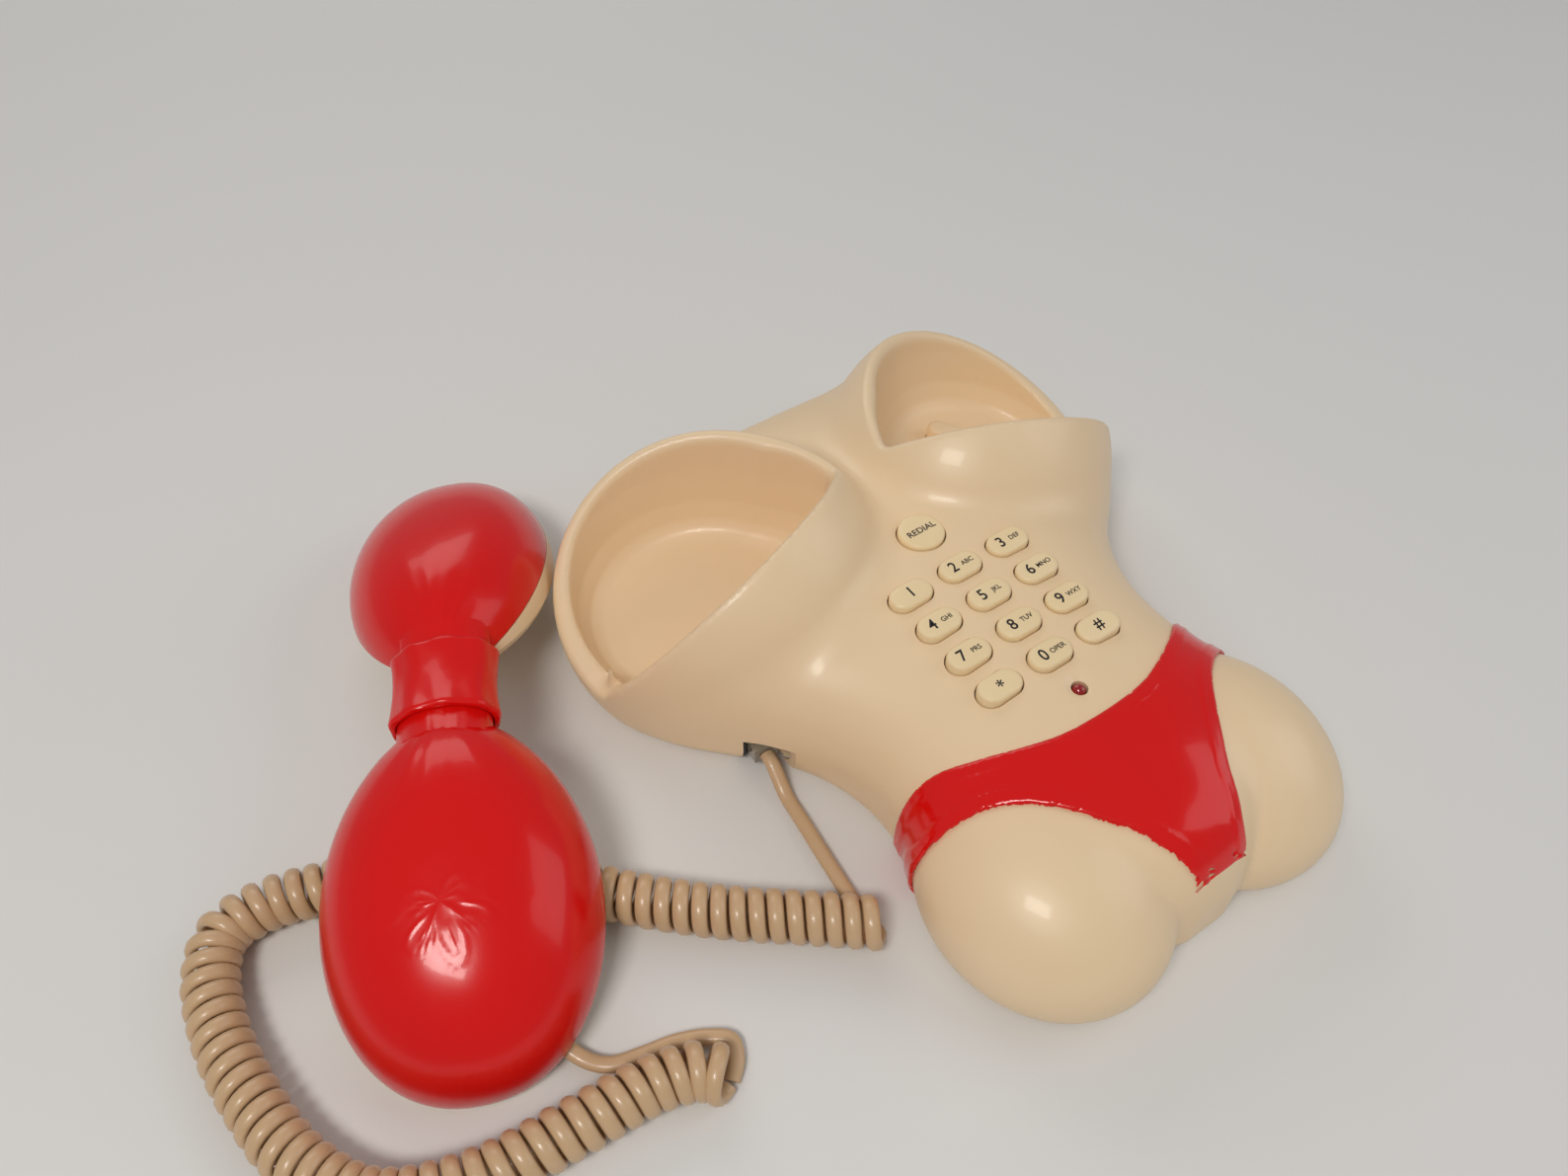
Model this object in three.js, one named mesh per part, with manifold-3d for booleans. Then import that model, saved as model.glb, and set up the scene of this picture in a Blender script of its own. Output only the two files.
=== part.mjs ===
// Novelty shaped telephone: a torso-shaped base with a key pad and two cradle bowls,
// a two-cup handset that has been lifted off, and the curly cord between them.
// Millimetres, +Z up, +Y towards the neck end of the base.
import * as THREE from 'three';
import { mergeVertices } from 'three/addons/utils/BufferGeometryUtils.js';
import Module from 'manifold-3d';

const wasm = await Module();
wasm.setup();

// ---------------------------------------------------------------- driving dimensions
const GAP = 0.3;                 // clearance between touching pieces
const SHELL_WALL = 2.4;          // moulded wall of every shell
const FOOT_HEIGHT = 1.5;         // the base stands this far off the table, on its feet

// Base trunk: [distance along Y, half width, height of the top], crotch to neck.
const TRUNK = [
  [-98, 9, 20], [-95, 15, 30], [-90, 23, 37], [-82, 34, 41.5], [-70, 46, 44],
  [-56, 54, 45.5], [-44, 56, 46], [-30, 54.5, 47], [-15, 55, 47.5], [0, 60, 48],
  [12, 68, 48], [24, 79, 47.5], [36, 87, 46.5], [50, 90, 46], [66, 91, 45],
  [82, 90, 43.5], [96, 86, 41], [106, 79, 38], [112, 71, 35], [115, 62, 32],
];
const TRUNK_MID = 9;             // height of the widest line of the trunk
const TRUNK_BELOW = 16;          // how far the section's lower half reaches
const TRUNK_POWER = 2.6;         // squareness of the trunk's section

const THIGH = { x: 33, y: -66, z: 13, across: 33, along: 38, up: 29 };
// Each cradle dome is a round front and a longer back, which blend into one egg.
const DOME_FRONT = { x: 45.5, y: 60.5, z: 25, across: 47.5, along: 45.6, up: 47.2 };
const DOME_BACK = { x: 52, y: 68, z: 20, across: 50.5, along: 50, up: 52 };

// The dome is opened by two planes, each given by a point and a normal (right side, x mirrored on the left).
const CUT_FRONT = { point: [50, 36, 65], normal: [0.312, 0.747, 0.587] };
const CUT_BACK = { point: [58, 109, 49], normal: [0.373, -0.3, 0.878] };

// Cradle bowl: a dish inside each dome.
const BOWL_CENTRE = { x: 51, y: 73 };
const BOWL_WALL = 2.5;           // width of the bowl's rim
const BOWL_FLOOR = 15;           // floor height at the bowl's centre
const BOWL_FLOOR_IN = 0.2;       // rise of the floor towards the middle of the base
const BOWL_FLOOR_NECK = 0.12;    // rise of the floor towards the neck
const BOWL_FOOT = 0.76;          // size of the floor against the rim

// Keys
const KEY_PITCH_X = 18.4;
const KEY_PITCH_Y = 12.9;
const KEY_LENGTH = 14;
const KEY_WIDTH = 8.4;
const KEY_PROUD = 2;
const KEY_TRAVEL = 1.4;
const KEY_FLANGE = 1.2;          // flange width and thickness
const KEY_NAMES = [
  ['key_1', 'key_2', 'key_3'],
  ['key_4', 'key_5', 'key_6'],
  ['key_7', 'key_8', 'key_9'],
  ['key_star', 'key_0', 'key_hash'],
];
const REDIAL_Y = 30.9;
const REDIAL_RADIUS = 7.2;
const NAVEL_Y = -38;
const LAMP_RADIUS = 2.1;

// Boards
const BOARD = { halfWidth: 31, from: -45, to: 40, top: 34, thick: 1.6 };
const MAT_THICK = 1;

// Hook plunger: a bar in the right bowl's floor.
const HOOK = { x: 58, y: 81, length: 19, width: 7, turn: -60, proud: 8, travel: 2.2 };

const HOOK_FLANGE = 1.2;

// Briefs trim
const TRIM_GAP = 0.3;
const TRIM_THICK = 1.1;
const TRIM_TOP = [[0, -47.5], [14, -46.5], [24, -43.5], [36, -38], [48, -31.5], [62, -29.5]];
const TRIM_LEG = [
  [62, -44.5], [50, -47], [42, -50.5], [35, -55.5], [28, -63], [22, -71], [17, -78],
  [14, -84], [11, -90], [9.5, -95], [8, -99], [8, -112],
];

// Jacks and plugs
const JACK = { width: 11, height: 9, depth: 14, mouth: 3.9 };
const PLUG = { width: 7.6, height: 5.4, length: 12, proud: 5 };
const BASE_JACK = { x: -68, y: 19, heading: 174 };   // heading of the mouth, degrees from +Y
const LINE_JACK_X = 32;

// Neck-end slide switches
const SWITCH_X = [-34, -8];
const SWITCH = { width: 14, height: 7, depth: 6, knob: 5, travel: 1.8, z: 12 };

// Screws and feet: [x, y] on the right side; each has a mirror copy.
const SCREWS = [[36, -62], [34, 80]];
const SCREW = { head: 3, headDeep: 1.2, shank: 1.3, length: 8.5 };
const BOSS_RADIUS = 3.8;
const FEET = [[30, -84], [62, 88]];
const FOOT_RADIUS = 5;

// Handset, in its own frame: Y along it towards the earpiece, X across it towards the base, Z up.
// Each cup slopes down from the grip towards its outer end.
const HANDSET = {
  x: -141.6, y: 66, turn: -24.6, roll: -3, bend: 19,
  reach: 62, towardGrip: 54, towardEnd: 47,
  dome: 27, pan: 4.6, grip: 13, gripUp: 8.5, gripDown: 11,
};
// Half widths of the two cups, away from the base and towards it.
const CUP_OUTER = { ear: 34, mouth: 36.5 };
const CUP_INNER = { ear: 30, mouth: 36.5 };
// The seam of the ear cup rises on the side towards the base.
const SEAM_RISE = { from: 6, slope: 0.32 };
// The bulge under each cup that holds the receiver or the microphone.
const BULGE = { reach: 69, radius: 20, depth: 9.6 };
const KNOT = { half: 12, wall: 2 };
const HANDSET_JACK = { x: 11.5, y: -86, z: -6.9, heading: -146 };
const RECEIVER = { radius: 12.6, thick: 6 };
const MICROPHONE = { x: -4, y: -66, radius: 4.2, thick: 4, boot: 6.5 };
const BALANCE = { half: 11, from: 34, to: 46, thick: 6 };

// Lug on the left bowl's rim
const LUG = { x: -94.5, y: 57, z: 20, radius: 2.6, tall: 6 };

// Curly cord: the diameters, and the routes of its pieces, chosen by hand.
const COIL_DIAMETER = 15;
const LEAD_DIAMETER = 5;
const TABLE_CLEAR = 0.1;
const COIL_ROUTE = [
  [-72, -49.5], [-87, -37.2], [-107, -21], [-124, -4.7], [-135, 7.5], [-146, 19.5], [-160, 33],
  [-176, 41.5], [-193.5, 47.5], [-208, 51.5], [-220, 50], [-226.5, 40], [-229.5, 22],
  [-228.5, 3], [-224, -18], [-213, -35.5], [-191.5, -45], [-165, -48], [-144, -50.2],
  [-133.5, -54.5], [-128.5, -61],
];
const LEAD_HEIGHT = LEAD_DIAMETER / 2 + 3 * TABLE_CLEAR;
// Each lead starts at its plug and goes on through these points on the table.
const BASE_LEAD_ROUTE = [[-70.2, 1], [-71.2, -8], [-73, -24], [-74, -34.6]];
const HANDSET_LEAD_ROUTE = [[-156.6, -32.5], [-152, -37.6], [-144, -40.2], [-135, -42.4], [-127.5, -46]];

// ---------------------------------------------------------------- solids
function solid(geometry) {
  const flat = geometry.index ? geometry.toNonIndexed() : geometry;
  const bare = new THREE.BufferGeometry();
  bare.setAttribute('position', flat.getAttribute('position'));
  const merged = mergeVertices(bare, 1e-3);
  return new wasm.Manifold(new wasm.Mesh({
    numProp: 3,
    vertProperties: new Float32Array(merged.attributes.position.array),
    triVerts: new Uint32Array(merged.index.array),
  }));
}

// The main body of a cut solid, without the specks that a cut can leave.
function main(manifold) {
  return manifold.decompose().reduce((best, next) => (next.volume() > best.volume() ? next : best));
}

function toGeometry(manifold) {
  const mesh = manifold.getMesh();
  const geometry = new THREE.BufferGeometry();
  geometry.setAttribute('position', new THREE.BufferAttribute(mesh.vertProperties, 3));
  geometry.setIndex(new THREE.BufferAttribute(mesh.triVerts, 1));
  const flat = geometry.toNonIndexed();
  flat.computeVertexNormals();
  return flat;
}

function join(...solids) {
  return solids.reduce((all, next) => all.add(next));
}

function box(x0, x1, y0, y1, z0, z1) {
  const geometry = new THREE.BoxGeometry(x1 - x0, y1 - y0, z1 - z0);
  geometry.translate((x0 + x1) / 2, (y0 + y1) / 2, (z0 + z1) / 2);
  return solid(geometry);
}

function post(x, y, radius, z0, z1, sides = 16) {
  const geometry = new THREE.CylinderGeometry(radius, radius, z1 - z0, sides);
  geometry.rotateX(Math.PI / 2);
  geometry.translate(x, y, (z0 + z1) / 2);
  return solid(geometry);
}

function prism(outline, z0, z1) {
  const shape = new THREE.Shape(outline.map(([x, y]) => new THREE.Vector2(x, y)));
  const geometry = new THREE.ExtrudeGeometry(shape, { depth: z1 - z0, bevelEnabled: false });
  geometry.translate(0, 0, z0);
  return solid(geometry);
}

// A closed skin over rings of points, each ring running anticlockwise seen from above,
// listed from the lowest to the highest.
function skin(rings) {
  const count = rings[0].length;
  const position = [];
  const triangle = (a, b, c) => position.push(...a, ...b, ...c);
  const middle = (ring) => [0, 1, 2].map((k) => ring.reduce((sum, p) => sum + p[k], 0) / count);
  const low = middle(rings[0]);
  const high = middle(rings[rings.length - 1]);
  for (let i = 0; i < count; i += 1) {
    const j = (i + 1) % count;
    triangle(low, rings[0][j], rings[0][i]);
    triangle(high, rings[rings.length - 1][i], rings[rings.length - 1][j]);
    for (let r = 0; r + 1 < rings.length; r += 1) {
      triangle(rings[r][i], rings[r][j], rings[r + 1][j]);
      triangle(rings[r][i], rings[r + 1][j], rings[r + 1][i]);
    }
  }
  const geometry = new THREE.BufferGeometry();
  geometry.setAttribute('position', new THREE.Float32BufferAttribute(position, 3));
  return solid(geometry);
}

function ellipsoid(size, side, grow, across, up) {
  const geometry = new THREE.SphereGeometry(1, across, up);
  geometry.rotateX(Math.PI / 2);
  geometry.scale(size.across + grow, size.along + grow, size.up + grow);
  geometry.translate(side * size.x, size.y, size.z);
  return solid(geometry);
}

// A slab that fills everything on the far side of a plane.
function halfSpace(cut, side, shift) {
  const normal = new THREE.Vector3(side * cut.normal[0], cut.normal[1], cut.normal[2]).normalize();
  const point = new THREE.Vector3(side * cut.point[0], cut.point[1], cut.point[2]);
  const reach = 400;
  const geometry = new THREE.BoxGeometry(reach, reach, reach);
  geometry.translate(0, 0, reach / 2 + shift);
  geometry.applyQuaternion(new THREE.Quaternion().setFromUnitVectors(new THREE.Vector3(0, 0, 1), normal));
  geometry.translate(point.x, point.y, point.z);
  return solid(geometry);
}

function power(value, exponent) {
  return Math.sign(value) * Math.abs(value) ** exponent;
}

function stadium(length, width, x, y, turn = 0, steps = 6) {
  const points = [];
  const straight = (length - width) / 2;
  for (let end = 0; end < 2; end += 1) {
    for (let i = 0; i <= steps; i += 1) {
      const angle = -Math.PI / 2 + end * Math.PI + (i / steps) * Math.PI;
      const px = (end ? -straight : straight) + (width / 2) * Math.cos(angle);
      points.push([px, (width / 2) * Math.sin(angle)]);
    }
  }
  const c = Math.cos(THREE.MathUtils.degToRad(turn));
  const s = Math.sin(THREE.MathUtils.degToRad(turn));
  return points.map(([px, py]) => [x + c * px - s * py, y + s * px + c * py]);
}

function circle(radius, x, y, steps = 24) {
  const points = [];
  for (let i = 0; i < steps; i += 1) {
    const angle = (i / steps) * 2 * Math.PI;
    points.push([x + radius * Math.cos(angle), y + radius * Math.sin(angle)]);
  }
  return points;
}

// ---------------------------------------------------------------- base body
const trunkCurve = new THREE.CatmullRomCurve3(
  TRUNK.map(([y, half, top]) => new THREE.Vector3(half, y, top)), false, 'centripetal');
const TRUNK_STATIONS = trunkCurve.getPoints(21);

function trunkAt(y) {
  const stations = TRUNK_STATIONS;
  let i = 1;
  while (i < stations.length - 1 && stations[i].y < y) i += 1;
  const t = THREE.MathUtils.clamp((y - stations[i - 1].y) / (stations[i].y - stations[i - 1].y), 0, 1);
  return stations[i - 1].clone().lerp(stations[i], t);
}

function trunkTop(x, y) {
  const station = trunkAt(y);
  const across = Math.min(Math.abs(x) / station.x, 1) ** TRUNK_POWER;
  return TRUNK_MID + (station.z - TRUNK_MID) * (1 - across) ** (1 / TRUNK_POWER);
}

function trunk(grow, around) {
  const first = TRUNK_STATIONS[0].y;
  const last = TRUNK_STATIONS[TRUNK_STATIONS.length - 1].y;
  const rings = TRUNK_STATIONS.map((station) => {
    const share = (station.y - first) / (last - first);
    const y = first - grow + share * (last - first + 2 * grow);
    const ring = [];
    for (let i = 0; i < around; i += 1) {
      const angle = (i / around) * 2 * Math.PI;
      const up = Math.sin(angle) > 0 ? station.z - TRUNK_MID + grow : TRUNK_BELOW + grow;
      ring.push([
        (station.x + grow) * power(Math.cos(angle), 2 / TRUNK_POWER),
        y,
        TRUNK_MID + up * power(Math.sin(angle), 2 / TRUNK_POWER),
      ]);
    }
    return ring.reverse();
  });
  return skin(rings);
}

// Everything above both opening planes on one side.
function opening(side, shift) {
  const half = side > 0 ? box(0, 200, -200, 200, -50, 200) : box(-200, 0, -200, 200, -50, 200);
  return half.intersect(halfSpace(CUT_FRONT, side, shift)).intersect(halfSpace(CUT_BACK, side, shift));
}

// The whole base as one solid, grown outwards or inwards; coarse is for faces that don't show.
function body(grow, coarse = false) {
  const across = coarse ? 14 : 22;
  const up = coarse ? 8 : 12;
  const parts = [trunk(grow, coarse ? 22 : 28)];
  for (const side of [-1, 1]) {
    [THIGH, DOME_FRONT, DOME_BACK].forEach((size) => parts.push(ellipsoid(size, side, grow, across, up)));
  }
  return join(...parts);
}

function planeHeight(cut, x, y) {
  const [nx, ny, nz] = cut.normal;
  return cut.point[2] - (nx * (x - cut.point[0]) + ny * (y - cut.point[1])) / nz;
}

function insideDome(size, x, y, z) {
  return ((x - size.x) / size.across) ** 2 + ((y - size.y) / size.along) ** 2
    + ((z - size.z) / size.up) ** 2 < 1;
}

// The rim of a bowl: how far the dome reaches from the bowl's centre in one direction, on the opening planes.
function rimReach(angle) {
  let near = 5;
  let far = 75;
  for (let i = 0; i < 30; i += 1) {
    const reach = (near + far) / 2;
    const x = BOWL_CENTRE.x + reach * Math.cos(angle);
    const y = BOWL_CENTRE.y + reach * Math.sin(angle);
    const z = Math.max(planeHeight(CUT_FRONT, x, y), planeHeight(CUT_BACK, x, y));
    if (insideDome(DOME_FRONT, x, y, z) || insideDome(DOME_BACK, x, y, z)) near = reach;
    else far = reach;
  }
  return (near + far) / 2;
}

function bowlFloor(x, y) {
  return BOWL_FLOOR - BOWL_FLOOR_IN * (x - BOWL_CENTRE.x) + BOWL_FLOOR_NECK * (y - BOWL_CENTRE.y);
}

// The dish cut into a dome; grow makes the same dish with a wall round it.
function bowl(side, grow, around = 28) {
  // [share of the rim's reach, height above the floor]
  const profile = [
    [BOWL_FOOT - 0.08, 0], [BOWL_FOOT, 1.2], [BOWL_FOOT + 0.07, 4], [BOWL_FOOT + 0.14, 10],
    [BOWL_FOOT + 0.2, 22], [1, 40], [1, 70],
  ];
  const rings = profile.map(([share, height]) => {
    const ring = [];
    for (let i = 0; i < around; i += 1) {
      const angle = (i / around) * 2 * Math.PI;
      const reach = (rimReach(angle) - BOWL_WALL) * share + grow;
      const x = BOWL_CENTRE.x + reach * Math.cos(angle);
      const y = BOWL_CENTRE.y + reach * Math.sin(angle);
      ring.push([side * x, y, bowlFloor(x, y) + height - (height ? grow * 0.7 : grow)]);
    }
    return side > 0 ? ring : ring.reverse();
  });
  return skin(rings);
}

// ---------------------------------------------------------------- pieces
const group = new THREE.Group();
const MATERIALS = {
  ivory: { color: 0xeccda5, roughness: 0.42, metalness: 0 },
  key: { color: 0xf0d8a4, roughness: 0.45, metalness: 0 },
  red: { color: 0xd90b08, roughness: 0.22, metalness: 0 },
  lamp: { color: 0xc01010, roughness: 0.1, metalness: 0 },
  rubber: { color: 0x2c2b2a, roughness: 0.8, metalness: 0 },
  mat: { color: 0xb9b4a8, roughness: 0.7, metalness: 0 },
  board: { color: 0x1f6b3a, roughness: 0.5, metalness: 0 },
  black: { color: 0x18181a, roughness: 0.4, metalness: 0 },
  steel: { color: 0xb0b2b5, roughness: 0.35, metalness: 1 },
  brass: { color: 0xb99a4c, roughness: 0.35, metalness: 1 },
  clear: { color: 0xd9d2c4, roughness: 0.1, metalness: 0 },
  cord: { color: 0xcdae86, roughness: 0.4, metalness: 0 },
};

function addTo(parent, name, manifold, material) {
  const mesh = new THREE.Mesh(toGeometry(manifold), new THREE.MeshStandardMaterial(MATERIALS[material]));
  mesh.name = name;
  parent.add(mesh);
  return mesh;
}

function heading(x, y, degrees) {
  return new THREE.Matrix4().makeRotationZ(THREE.MathUtils.degToRad(degrees)).setPosition(x, y, 0);
}

function moved(manifold, matrix) {
  const geometry = toGeometry(manifold);
  geometry.applyMatrix4(matrix);
  return solid(geometry);
}

// A modular jack with its mouth towards +Y at y = 0 and its foot at z = 0.
function jackHousing() {
  const { width, height, depth } = JACK;
  const hole = box(
    -PLUG.width / 2 - GAP, PLUG.width / 2 + GAP,
    -PLUG.length - 1, 1,
    JACK.mouth - PLUG.height / 2 - GAP, JACK.mouth + PLUG.height / 2 + GAP);
  return box(-width / 2, width / 2, -depth, 0, 0, height).subtract(hole);
}

function jackCut() {
  const { width, height, depth } = JACK;
  return box(-width / 2 - GAP, width / 2 + GAP, -depth - GAP, 30, -10, height + GAP);
}

const FLOOR_TOP = FOOT_HEIGHT + SHELL_WALL;      // upper face of the base's lower cover
const BENCH = FLOOR_TOP + GAP;                   // height at which inner pieces rest on it

function keySpots() {
  const spots = [];
  KEY_NAMES.forEach((row, r) => {
    row.forEach((name, c) => {
      spots.push({ name, x: (c - 1) * KEY_PITCH_X, y: (1 - r) * KEY_PITCH_Y, long: KEY_LENGTH, wide: KEY_WIDTH });
    });
  });
  spots.push({ name: 'key_redial', x: 0, y: REDIAL_Y, long: 2 * REDIAL_RADIUS, wide: 2 * REDIAL_RADIUS });
  return spots;
}

function keyOutline(spot, grow) {
  if (spot.long === spot.wide) return circle(spot.long / 2 + grow, spot.x, spot.y, 20);
  return stadium(spot.long + 2 * grow, spot.wide + 2 * grow, spot.x, spot.y, 0, 5);
}

// The lowest point of the shell's inner face over a key's flange.
function ceiling(spot) {
  const outline = keyOutline(spot, KEY_FLANGE);
  return Math.min(...outline.map(([x, y]) => trunkTop(x, y))) - SHELL_WALL - 0.5;
}

function switchCut(x) {
  return box(
    x - SWITCH.knob / 2 - SWITCH.travel - GAP, x + SWITCH.knob / 2 + SWITCH.travel + GAP,
    100, 130, SWITCH.z - 2 - GAP, SWITCH.z + 2 + GAP);
}

function mirrored(spots) {
  return spots.flatMap(([x, y]) => [[-x, y], [x, y]]);
}

const baseJackPlace = heading(BASE_JACK.x, BASE_JACK.y, BASE_JACK.heading);
const NECK_Y = TRUNK[TRUNK.length - 1][0];
const lineJackPlace = heading(LINE_JACK_X, NECK_Y - 1, 0);

function boardPosts() {
  const x = BOARD.halfWidth - 3;
  return [[-x, BOARD.from + 4], [x, BOARD.from + 4], [-x, BOARD.to - 4], [x, BOARD.to - 4]];
}

function baseUpperShell() {
  const outer = body(0).intersect(box(-150, 150, -150, NECK_Y, FOOT_HEIGHT, 120));
  let inner = body(-SHELL_WALL, true);
  let shell = outer;
  for (const side of [-1, 1]) {
    shell = shell.subtract(opening(side, 0)).subtract(bowl(side, 0));
    inner = inner.subtract(opening(side, -SHELL_WALL)).subtract(bowl(side, SHELL_WALL, 18));
  }
  inner = inner.intersect(box(-150, 150, -150, NECK_Y - SHELL_WALL, -20, 120));
  shell = shell.subtract(inner);
  // bosses for the case screws and the key board
  mirrored(SCREWS).forEach(([x, y]) => {
    const boss = post(x, y, BOSS_RADIUS, BENCH, 60).intersect(inner);
    shell = shell.add(boss).subtract(post(x, y, SCREW.shank + 0.15, 0, BENCH + SCREW.length - 3, 12));
  });
  boardPosts().forEach(([x, y]) => {
    shell = shell.add(post(x, y, 2.5, BOARD.top + GAP, 60, 10).intersect(inner));
  });
  keySpots().forEach((spot) => {
    shell = shell.subtract(prism(keyOutline(spot, GAP), 36, 60));
  });
  const navelTop = trunkTop(0, NAVEL_Y);
  const dimple = new THREE.SphereGeometry(6, 16, 10);
  dimple.translate(0, NAVEL_Y, navelTop + 4.6);
  shell = shell.subtract(solid(dimple)).subtract(post(0, NAVEL_Y, LAMP_RADIUS + GAP, 36, 60));
  const hookSlot = prism(stadium(HOOK.length + 2 * GAP, HOOK.width + 2 * GAP, HOOK.x, HOOK.y, HOOK.turn), 2, 40);
  shell = shell.subtract(hookSlot);
  shell = shell.subtract(moved(jackCut(), new THREE.Matrix4()
    .multiply(baseJackPlace).multiply(new THREE.Matrix4().makeTranslation(0, 0, BENCH))));
  shell = shell.subtract(moved(jackCut(), new THREE.Matrix4()
    .multiply(lineJackPlace).multiply(new THREE.Matrix4().makeTranslation(0, 0, BENCH))));
  SWITCH_X.forEach((x) => {
    shell = shell.subtract(switchCut(x));
  });
  const lug = new THREE.CylinderGeometry(LUG.radius * 0.55, LUG.radius, LUG.tall, 10);
  lug.rotateX(Math.PI / 2);
  lug.translate(LUG.x, LUG.y, LUG.z);
  return main(shell.add(solid(lug).subtract(bowl(-1, 0))));
}

function baseLowerCover() {
  const slab = box(-150, 150, -150, NECK_Y - SHELL_WALL - GAP, FOOT_HEIGHT, FLOOR_TOP);
  let cover = body(-SHELL_WALL - GAP - 0.4, true).intersect(slab);
  mirrored(SCREWS).forEach(([x, y]) => {
    cover = cover.subtract(post(x, y, SCREW.shank + 0.2, 0, 20, 12));
    cover = cover.subtract(post(x, y, SCREW.head + 0.2, 0, FOOT_HEIGHT + SCREW.headDeep, 16));
  });
  for (const side of [-1, 1]) cover = cover.subtract(bowl(side, SHELL_WALL + GAP, 18));
  const plugRoom = moved(jackCut(), new THREE.Matrix4()
    .multiply(baseJackPlace).multiply(new THREE.Matrix4().makeTranslation(0, -GAP, BENCH)));
  return cover.subtract(plugRoom.intersect(box(-150, 150, -150, 150, FOOT_HEIGHT - 5, 40)));
}

function trim() {
  const right = [...TRIM_TOP, ...TRIM_LEG];
  const left = right.slice().reverse().map(([x, y]) => [-x, y]);
  const outline = [...right, ...left.slice(0, -1)].reverse();
  const skinSolid = body(TRIM_GAP + TRIM_THICK).subtract(body(TRIM_GAP));
  return skinSolid.intersect(prism(outline, FOOT_HEIGHT, 60));
}

function keyCap(spot) {
  const top = trunkTop(spot.x, spot.y) + KEY_PROUD;
  const flangeTop = ceiling(spot) - GAP;
  const cap = prism(keyOutline(spot, 0), flangeTop - KEY_FLANGE, top);
  return cap.add(prism(keyOutline(spot, KEY_FLANGE), flangeTop - KEY_FLANGE, flangeTop));
}

function keyMat() {
  let mat = box(-BOARD.halfWidth + 6.5, BOARD.halfWidth - 6.5, BOARD.from + 12, BOARD.to - 0.5,
    BOARD.top + GAP, BOARD.top + GAP + MAT_THICK);
  keySpots().forEach((spot) => {
    const nubTop = ceiling(spot) - GAP - KEY_FLANGE - KEY_TRAVEL - GAP;
    mat = mat.add(post(spot.x, spot.y, 3.2, BOARD.top + GAP, nubTop, 12));
  });
  return mat;
}

function lamp() {
  const top = trunkTop(0, NAVEL_Y) - 2.2;
  const domeShape = new THREE.SphereGeometry(LAMP_RADIUS, 14, 8);
  domeShape.rotateX(Math.PI / 2);
  domeShape.translate(0, NAVEL_Y, top);
  return post(0, NAVEL_Y, LAMP_RADIUS, BOARD.top + GAP, top, 14).add(solid(domeShape));
}

function hookPlunger() {
  const floor = bowlFloor(HOOK.x, HOOK.y);
  const under = floor - SHELL_WALL - 2.6;
  const bottom = under - HOOK_FLANGE;
  const bar = prism(stadium(HOOK.length, HOOK.width, HOOK.x, HOOK.y, HOOK.turn, 6), bottom, floor + HOOK.proud);
  const flange = prism(stadium(HOOK.length + 4, HOOK.width + 3, HOOK.x, HOOK.y, HOOK.turn, 6), bottom, under);
  return bar.add(flange);
}

function hookSwitch() {
  const top = bowlFloor(HOOK.x, HOOK.y) - SHELL_WALL - 2.6 - HOOK_FLANGE - HOOK.travel - GAP;
  return prism(stadium(22, 7, HOOK.x, HOOK.y, HOOK.turn, 3), BENCH, top);
}

function buildBase() {
  addTo(group, 'base_upper_shell', baseUpperShell(), 'ivory');
  addTo(group, 'base_lower_cover', baseLowerCover(), 'ivory');
  addTo(group, 'briefs_trim', trim(), 'red');
  keySpots().forEach((spot) => addTo(group, spot.name, keyCap(spot), 'key'));
  addTo(group, 'key_mat', keyMat(), 'mat');
  addTo(group, 'key_board', box(-BOARD.halfWidth, BOARD.halfWidth, BOARD.from, BOARD.to,
    BOARD.top - BOARD.thick, BOARD.top), 'board');
  const chipTop = BOARD.top - BOARD.thick - GAP;
  addTo(group, 'main_chip', box(-12, 12, -6, 6, chipTop - 3, chipTop), 'black');
  addTo(group, 'message_lamp', lamp(), 'lamp');
  addTo(group, 'hook_plunger', hookPlunger(), 'ivory');
  addTo(group, 'hook_switch', hookSwitch(), 'black');
  addTo(group, 'ringer_sounder', post(0, -66, 14, BENCH, BENCH + 3, 24), 'brass');
  addTo(group, 'ballast_plate', box(-34, 34, -34, 22, BENCH, BENCH + 3), 'steel');
  const baseJack = addTo(group, 'base_cord_jack', jackHousing(), 'black');
  baseJack.applyMatrix4(baseJackPlace);
  baseJack.position.z = BENCH;
  const lineJack = addTo(group, 'line_jack', jackHousing(), 'black');
  lineJack.applyMatrix4(lineJackPlace);
  lineJack.position.z = BENCH;
  ['ringer', 'tone'].forEach((name, i) => {
    const x = SWITCH_X[i];
    const back = NECK_Y - SHELL_WALL - GAP;
    addTo(group, `${name}_switch_body`, box(x - SWITCH.width / 2, x + SWITCH.width / 2,
      back - SWITCH.depth, back, SWITCH.z - SWITCH.height / 2, SWITCH.z + SWITCH.height / 2), 'black');
    addTo(group, `${name}_switch_knob`, box(x - SWITCH.knob / 2, x + SWITCH.knob / 2,
      back + GAP, NECK_Y + 2.5, SWITCH.z - 2, SWITCH.z + 2), 'black');
  });
  mirrored(SCREWS).forEach(([x, y], i) => {
    const head = post(x, y, SCREW.head, FOOT_HEIGHT + GAP - 0.2, FOOT_HEIGHT + SCREW.headDeep - GAP, 14);
    const shank = post(x, y, SCREW.shank, FOOT_HEIGHT + 0.2, FOOT_HEIGHT + SCREW.length - 2, 10);
    addTo(group, `case_screw_${i + 1}`, head.add(shank), 'steel');
  });
  mirrored(FEET).forEach(([x, y], i) => {
    addTo(group, `foot_${i + 1}`, post(x, y, FOOT_RADIUS, 0, FOOT_HEIGHT - GAP, 18), 'rubber');
  });
}

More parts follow.
